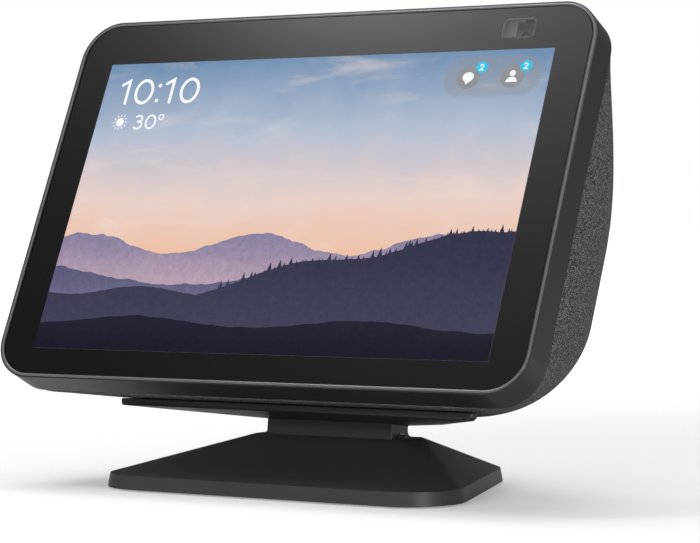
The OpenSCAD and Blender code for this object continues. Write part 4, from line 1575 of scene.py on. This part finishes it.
@dataclass
class ClothBack:
    """The knit cover stretched over the rear shell, hemmed at the seam and the ports."""

    band_depth: float = 11.5 * MM
    seam: float = 0.3 * MM
    depth: float = 87.5 * MM
    half_w: float = 100.2 * MM
    taper: float = 58.5 * MM
    height: float = 135.2 * MM
    roof_fall: float = 77.3 * MM
    lean_deg: float = 18.0
    chin: float = 4 * MM
    corner: float = 14 * MM
    growth: float = 27.6 * MM
    back_edge: float = 5 * MM
    cloth: float = 1.05 * MM
    hem: float = 0.6 * MM
    port_z: float = 36.2 * MM
    port_half_w: float = 23.2 * MM
    port_half_h: float = 8.7 * MM
    port_hem: float = 0.5 * MM
    flat: tuple[float, float] = (0.33, 0.24)
    cut_share: float = 0.63

    def _share(self, depth: float) -> float:
        """Gives the share of the way from the band to the back."""
        return min(1.0, max(0.0, (depth - self.band_depth) / (self.depth - self.band_depth)))

    def _ring(self, depth: float, inset: float) -> list[Point3]:
        """Gives the cover's outline at a depth, drawn in by an inset."""
        share = self._share(depth)
        half = self.half_w - self.taper * share**3 - inset
        roof = self.height - self.roof_fall * share - inset
        lean = math.radians(self.lean_deg)
        floor = max(0.0, (depth * math.sin(lean) - self.chin) / math.cos(lean)) + inset
        wanted = self.corner + self.growth * math.sqrt(share) - inset
        most = (roof - floor) / 2 - 0.2 * MM
        # A soft choice of the smaller one leaves no crease where the sides turn fully round
        sharpness = 5.0
        radius = (wanted**-sharpness + most**-sharpness) ** (-1 / sharpness)
        outline = rounded_outline(half, floor, roof, radius, 20, (14, 26))
        return [(x, depth, z) for x, z in outline]

    def _opening(self, depth: float, grow: float) -> list[Point3]:
        """Gives the port opening's outline."""
        outline = rounded_outline(
            self.port_half_w + grow,
            -self.port_half_h - grow,
            self.port_half_h + grow,
            self.port_half_h + grow,
            20,
            (14, 26),
        )
        return [(x, depth, self.port_z + z) for x, z in outline]

    def _skin(self) -> list[list[Point3]]:
        """Gives the rings of the outer skin, from the seam's hem to the ports' hem."""
        rings = []
        start = self.band_depth + self.seam
        for i in range(7):
            turn = math.radians(90 * i / 6)
            rings.append(
                self._ring(start + self.hem * (1 - math.cos(turn)), self.hem * (1 - math.sin(turn)))
            )
        first, last = start + self.hem, self.depth - self.back_edge
        steps = 60
        rings += [self._ring(first + (last - first) * (i / steps) ** 1.15, 0.0) for i in range(1, steps)]
        for i in range(13):
            turn = math.radians(90 * i / 12)
            rings.append(
                self._ring(
                    last + self.back_edge * math.sin(turn), self.back_edge * (1 - math.cos(turn))
                )
            )
        edge, hole = rings[-1], self._opening(self.depth, self.port_hem)
        for share in (0.12, 0.35, 0.6, 0.85, 1.0):
            rings.append(
                [
                    (a[0] + (b[0] - a[0]) * share, self.depth, a[2] + (b[2] - a[2]) * share)
                    for a, b in zip(edge, hole)
                ]
            )
        for i in range(1, 6):
            turn = math.radians(90 * i / 5)
            rings.append(
                self._opening(
                    self.depth - self.port_hem * (1 - math.cos(turn)),
                    self.port_hem * (1 - math.sin(turn)),
                )
            )
        return rings

    def _lining(self) -> list[list[Point3]]:
        """Gives the rings of the inner skin, back from the ports to the seam."""
        inner = self.depth - self.cloth
        rings = [self._opening(inner, 0.0), self._opening(inner, 0.9 * MM)]
        last = self.depth - self.back_edge
        reach = self.back_edge - self.cloth
        for i in range(6, -1, -1):
            turn = math.radians(90 * i / 6)
            rings.append(
                self._ring(last + reach * math.sin(turn), self.cloth + reach * (1 - math.cos(turn)))
            )
        first = self.band_depth + self.seam + self.hem
        rings += [self._ring(first + (last - first) * i / 24, self.cloth) for i in range(23, -1, -1)]
        rings.append(self._ring(self.band_depth + self.seam + 0.1 * MM, self.cloth - 0.05 * MM))
        return rings

    def build(self, build: Build) -> None:
        """Makes the cover.

        Args:
            build: the shared parts of the build.
        """
        rings = self._skin() + self._lining()
        points, faces = loft(rings, closed=True)
        faces = [tuple(reversed(face)) for face in faces]
        uvs: list[Point2] = []
        run = [0.0] * len(rings[0])
        for k, ring in enumerate(rings):
            across = 0.0
            for i, point in enumerate(ring):
                if k:
                    run[i] += (Vector(point) - Vector(rings[k - 1][i])).length
                if i:
                    across += (Vector(point) - Vector(ring[i - 1])).length
                uvs.append((across, run[i]))
        cover = make_piece(
            "knit_cover", points, faces, build.palette.of(KnitCloth()), build.place.face(), 80.0, uvs
        )
        build.settle(cover, "display", "knit_fabric", "rear_fabric")


# ------------------------------------------------------------------------ keys and ports


@dataclass
class TopKeys:
    """The three round keys on the roof and the camera shutter's knob."""

    key_y: float = 0.0
    radius: float = 3.2 * MM
    top: float = 136.1 * MM
    rounding: float = 0.35 * MM
    dish: float = 0.12 * MM
    spots: tuple = (("volume_down", -34 * MM), ("volume_up", -16 * MM), ("mic", 8 * MM))

    def _profile(self, flange_z: float) -> list[Point2]:
        """Gives a key's profile: flange, stem, rounded rim and dished top."""
        flange = 4.05 * MM
        points = [
            (flange - 0.1 * MM, flange_z),
            (flange, flange_z + 0.1 * MM),
            (flange, flange_z + 1.0 * MM),
            (flange - 0.1 * MM, flange_z + 1.1 * MM),
            (self.radius + 0.02 * MM, flange_z + 1.1 * MM),
            (self.radius, flange_z + 1.15 * MM),
            (self.radius, self.top - self.rounding - 0.05 * MM),
        ]
        for i in range(7):
            turn = math.radians(90 * i / 6)
            points.append(
                (
                    self.radius - self.rounding * (1 - math.cos(turn)),
                    self.top - self.rounding * (1 - math.sin(turn)),
                )
            )
        rim = self.radius - self.rounding
        points += [
            (rim * (1 - 0.2 * i), self.top - self.dish * math.sin(math.pi / 2 * 0.25 * i))
            for i in range(1, 5)
        ]
        return points

    def _mark(self, name: str, x: float) -> tuple[list, list]:
        """Draws a key's mark: plus, minus or a struck-through ring."""
        reach, weight = 1.1 * MM, 0.36 * MM
        level = stroke([(x - reach, self.key_y), (x + reach, self.key_y)], weight)
        if name == "volume_down":
            return level
        if name == "volume_up":
            arms = [
                stroke([(x, self.key_y + s * 0.25 * MM), (x, self.key_y + s * reach)], weight)
                for s in (-1, 1)
            ]
            return gather(level, *arms)
        ring = stroke(bow(x, self.key_y, reach, reach, 0, 360, 36)[:-1], 0.3 * MM, True)
        bar = stroke([(x - 0.55 * MM, self.key_y - 0.55 * MM), (x + 0.55 * MM, self.key_y + 0.55 * MM)], 0.3 * MM)
        return gather(ring, bar)

    def build(self, build: Build) -> None:
        """Makes the keys, their marks and the shutter.

        Args:
            build: the shared parts of the build.
        """
        face = build.place.face()
        back = face.inverted()
        for name, x in self.spots:
            node = name if name.startswith("volume") else "mic_button"
            body = f"{name}_key"
            corners = [back @ v.co for v in build.nodes[node].data.vertices]
            self.key_y = (min(c.y for c in corners) + max(c.y for c in corners)) / 2
            flange_z = min(c.z for c in corners)
            points, faces = lathe(self._profile(flange_z))
            key = make_piece(
                f"{name}_cap",
                points,
                faces,
                build.palette.of(KEY_ABS),
                face @ Matrix.Translation((x, self.key_y, 0)),
                32,
            )
            build.settle(key, body, "button_plastic", node)
            drawing, drawn = self._mark(name, x)
            mark = thin_plate(
                f"{name}_mark",
                [(p[0], p[1]) for p in drawing],
                drawn,
                0.0,
                0.05 * MM,
                build.palette.of(PAD_PRINT),
                face
                @ Matrix.Translation((0, 0, self.top - self.dish + 0.01 * MM))
                @ Matrix.Rotation(math.radians(-90), 4, "X"),
            )
            build.settle(mark, body, "button_plastic")
        shutter = softened(
            build.nodes["shutter"], "shutter_slide", build.palette.of(SHUTTER_ABS), 0.16
        )
        build.settle(shutter, "shutter_slide", "frame_plastic", "shutter")


@dataclass
class PortPanel:
    """The plate at the back with the power inlet and the service socket."""

    rounding: float = 0.35

    def build(self, build: Build) -> None:
        """Makes the plate and dresses what it holds.

        Args:
            build: the shared parts of the build.
        """
        plate = softened(
            build.nodes["port_plate"], "port_panel", build.palette.of(PORT_ABS), self.rounding
        )
        build.settle(plate, "display", "port_plastic", "port_plate")
        build.dress(PORT_ABS, "power_inlet")
        build.dress(BRASS, "inlet_pin")
        build.dress(TINNED_STEEL, "service_port")


# -------------------------------------------------------------------------------- stand


@dataclass
class TiltStand:
    """The weighted base, its hinge neck and the plate that the display docks on."""

    base_round: float = 0.7
    plate_round: float = 1.9
    crisp_share: float = 0.22

    def _ends(self, plate: bpy.types.Object) -> Callable[[Vector], float]:
        """Gives the plate's rounding shares: full under its two ends, slight elsewhere."""
        reach = max(v.co.x for v in plate.data.vertices)
        span = [plate.matrix_world @ v.co for v in plate.data.vertices if abs(v.co.x) > reach - 3 * MM]
        under = (min(v.z for v in span) + max(v.z for v in span)) / 2

        def share(middle: Vector) -> float:
            """Gives the share at an edge's middle."""
            low = (plate.matrix_world @ middle).z < under
            return 1.0 if low and abs(middle.x) > reach - 0.4 * MM else self.crisp_share

        return share

    def build(self, build: Build) -> None:
        """Makes the moulded covers and dresses the pieces they hold.

        Args:
            build: the shared parts of the build.
        """
        stand_abs = build.palette.of(STAND_ABS)
        base = softened(build.nodes["base_shell"], "base_cover_moulding", stand_abs, self.base_round)
        build.settle(base, "stand", "stand_plastic", "base_shell")
        packed = build.nodes["tilt_plate"]
        plate = softened(
            packed, "tilt_plate_moulding", stand_abs, self.plate_round, self._ends(packed), 5, False
        )
        build.settle(plate, "plate", "stand_plastic", "tilt_plate")
        build.dress(STAND_ABS, "base_cover")
        build.dress(FOOT_RUBBER, "base_foot")
        build.dress(SHEET_STEEL, "base_weight")
        build.dress(SCREW_STEEL, "base_screws", "hinge_pin")
        build.dress(SPRING_STEEL, "friction_discs")
        build.dress(PAD_SILICONE, "plate_pad")
        build.dress(MAGNET, "plate_magnets")
        build.dress(ACETAL, "barrel_bushes")
        build.dress(BLACK_RUBBER, "bottom_foot")


@dataclass
class Innards:
    """Everything inside the display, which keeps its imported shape."""

    def build(self, build: Build) -> None:
        """Dresses the inner pieces.

        Args:
            build: the shared parts of the build.
        """
        build.dress(BLACK_RUBBER, "glass_tape")
        build.dress(PANEL_GLASS, "display_cell", "light_sensor")
        build.dress(LIGHT_GUIDE, "light_guide")
        build.dress(SHEET_STEEL, "backlight_tray", "dock_keeper", "speaker_frames")
        build.dress(INNER_ABS, "mid_frame", "rear_shell", "sound_box")
        build.dress(ALUMINIUM, "heat_spreader")
        build.dress(BOARD, "main_board", "button_board")
        build.dress(TINNED_STEEL, "shield_cans", "microphones", "dome_switches")
        build.dress(RESIN, "board_chips")
        build.dress(PAPER, "speaker_cones", "radiator_cone")
        build.dress(SURROUND_RUBBER, "speaker_surrounds", "radiator_surround")
        build.dress(MAGNET, "speaker_magnets")
        build.dress(CAMERA_ABS, "camera_module")
        build.dress(ClearGlass("camera_lens_glass", "aab4d8"), "camera_lens")
        build.dress(COPPER, "antennas")
        build.dress(FILM, "screen_ribbon", "camera_ribbon")
        build.dress(SCREW_STEEL, "frame_screws")


# ------------------------------------------------------------------------------- studio


@dataclass
class Studio:
    """A plain pale floor, soft light and the camera."""

    lens_mm: float = 130.1
    eye: Point3 = (0.43768, -0.73029, 0.08879)
    pitch_deg: float = 88.89
    turn_deg: float = 30.51
    floor_half: float = 40.0

    def _camera(self) -> None:
        """Adds the camera."""
        data = bpy.data.cameras.new("studio_camera")
        data.lens = self.lens_mm
        data.sensor_width = 36.0
        data.clip_start = 0.01
        data.clip_end = 200.0
        camera = bpy.data.objects.new("studio_camera", data)
        camera.location = self.eye
        camera.rotation_euler = (math.radians(self.pitch_deg), 0.0, math.radians(self.turn_deg))
        bpy.context.scene.collection.objects.link(camera)
        bpy.context.scene.camera = camera

    def _floor(self) -> None:
        """Adds the floor: white to the eye, greyer to what it reflects in."""
        material = bpy.data.materials.new("pale_floor")
        material.use_nodes = True
        tree = material.node_tree
        tree.nodes.clear()
        seen = add_node(tree, "ShaderNodeLightPath").outputs["Is Camera Ray"]
        matt = add_node(
            tree, "ShaderNodeBsdfDiffuse", feeds={"Color": (0.55, 0.55, 0.55, 1.0)}
        ).outputs["BSDF"]
        coords = add_node(tree, "ShaderNodeTexCoord").outputs["Object"]
        away = add_node(
            tree, "ShaderNodeVectorMath", {"operation": "LENGTH"}, {0: coords}
        ).outputs["Value"]
        # Painted light: to the camera the floor glows, faintly near the object and almost fully white a little
        # way off, so no horizon shows
        glow = add_node(
            tree,
            "ShaderNodeMapRange",
            {"interpolation_type": "SMOOTHSTEP"},
            {"Value": away, "From Min": 0.12, "From Max": 1.2, "To Min": 0.3, "To Max": 0.95},
        ).outputs["Result"]
        strength = add_node(
            tree, "ShaderNodeMath", {"operation": "MULTIPLY"}, {0: seen, 1: glow}
        ).outputs[0]
        lift = add_node(
            tree,
            "ShaderNodeEmission",
            feeds={"Color": (1.0, 1.0, 1.0, 1.0), "Strength": strength},
        ).outputs["Emission"]
        both = add_node(tree, "ShaderNodeAddShader", feeds={0: matt, 1: lift}).outputs[0]
        add_node(tree, "ShaderNodeOutputMaterial", feeds={"Surface": both})
        h = self.floor_half
        floor = make_piece(
            "studio_floor",
            [(-h, -h, 0), (h, -h, 0), (h, h, 0), (-h, h, 0)],
            [(0, 1, 2, 3)],
            material,
        )

    def _world(self) -> None:
        """Lights the room evenly, brighter overhead than at the horizon."""
        world = bpy.data.worlds.new("studio_room")
        world.use_nodes = True
        tree = world.node_tree
        tree.nodes.clear()
        way = add_node(tree, "ShaderNodeTexCoord").outputs["Generated"]
        up = add_node(tree, "ShaderNodeSeparateXYZ", feeds={"Vector": way}).outputs["Z"]
        room = add_node(
            tree,
            "ShaderNodeValToRGB",
            {
                "stops": [
                    (0.0, (0.28, 0.28, 0.28, 1.0)),
                    (0.3, (0.24, 0.24, 0.24, 1.0)),
                    (0.6, (0.1, 0.1, 0.1, 1.0)),
                    (0.8, (0.8, 0.8, 0.8, 1.0)),
                    (1.0, (1.3, 1.3, 1.3, 1.0)),
                ]
            },
            {"Fac": up},
        ).outputs["Color"]
        aside = add_node(tree, "ShaderNodeSeparateXYZ", feeds={"Vector": way}).outputs["X"]
        # The room is darker on the left, which leaves that side of the object deep
        dim = add_node(
            tree,
            "ShaderNodeMapRange",
            feeds={"Value": aside, "From Min": -0.9, "From Max": 0.4, "To Min": 0.3, "To Max": 1.0},
        ).outputs["Result"]
        room = add_node(
            tree, "ShaderNodeVectorMath", {"operation": "SCALE"}, {0: room, "Scale": dim}
        ).outputs["Vector"]
        seen = add_node(tree, "ShaderNodeLightPath").outputs["Is Camera Ray"]
        colour = add_node(
            tree,
            "ShaderNodeMix",
            {"data_type": "RGBA"},
            {0: seen, 6: room, 7: (1.0, 1.0, 1.0, 1.0)},
        ).outputs[2]
        light = add_node(
            tree, "ShaderNodeBackground", feeds={"Color": colour, "Strength": 1.0}
        ).outputs["Background"]
        add_node(tree, "ShaderNodeOutputWorld", feeds={"Surface": light})
        bpy.context.scene.world = world

    def _softbox(
        self, name: str, spot: Point3, aim: Point3, size: Point2, power: float, mirrored: bool = True
    ) -> None:
        """Adds a rectangular soft light.

        Args:
            name: its name.
            spot: where it stands.
            aim: what it points at.
            size: its width and height.
            power: in watts.
            mirrored: False if glossy surfaces don't show it.
        """
        data = bpy.data.lights.new(name, "AREA")
        data.shape = "RECTANGLE"
        data.size, data.size_y = size
        data.energy = power
        light = bpy.data.objects.new(name, data)
        light.location = spot
        light.visible_glossy = mirrored
        light.rotation_euler = (Vector(aim) - Vector(spot)).to_track_quat("-Z", "Y").to_euler()
        bpy.context.scene.collection.objects.link(light)

    def build(self) -> None:
        """Sets the studio up."""
        bpy.context.scene.view_settings.view_transform = "Standard"
        self._camera()
        self._floor()
        self._world()
        self._softbox("overhead", (-0.3, 0.25, 1.45), (0, 0, 0.05), (1.0, 0.8), 10.0)
        self._softbox("glass_streak", (-0.53, -0.4, 1.15), (0, -0.03, 0.12), (0.14, 0.42), 3.6)
        self._softbox("front_fill", (-0.1, -1.5, 0.5), (0, 0, 0.03), (0.8, 0.3), 18.0, False)
        self._softbox("corner_glint", (1.2, -0.75, 0.12), (0, 0, 0.03), (0.2, 0.3), 6.0)
        self._softbox("edge_line", (1.0, -0.27, 0.7), (0.1, -0.03, 0.1), (0.05, 0.4), 1.3)


# --------------------------------------------------------------------------------- main


def main() -> None:
    """Builds every sub-assembly in order and the studio round them."""
    logging.basicConfig(level=logging.INFO, format="%(name)s: %(message)s")
    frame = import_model()
    build = Build(frame)
    for assembly in (
        Innards(),
        FrontBand(),
        CoverGlass(),
        HomeScreen(),
        ClothBack(),
        TopKeys(),
        PortPanel(),
        TiltStand(),
    ):
        assembly.build(build)
        log.info("%s done", type(assembly).__name__)
    Studio().build()
    log.info("%d pieces made", build.count)


if __name__ == "__main__":
    main()
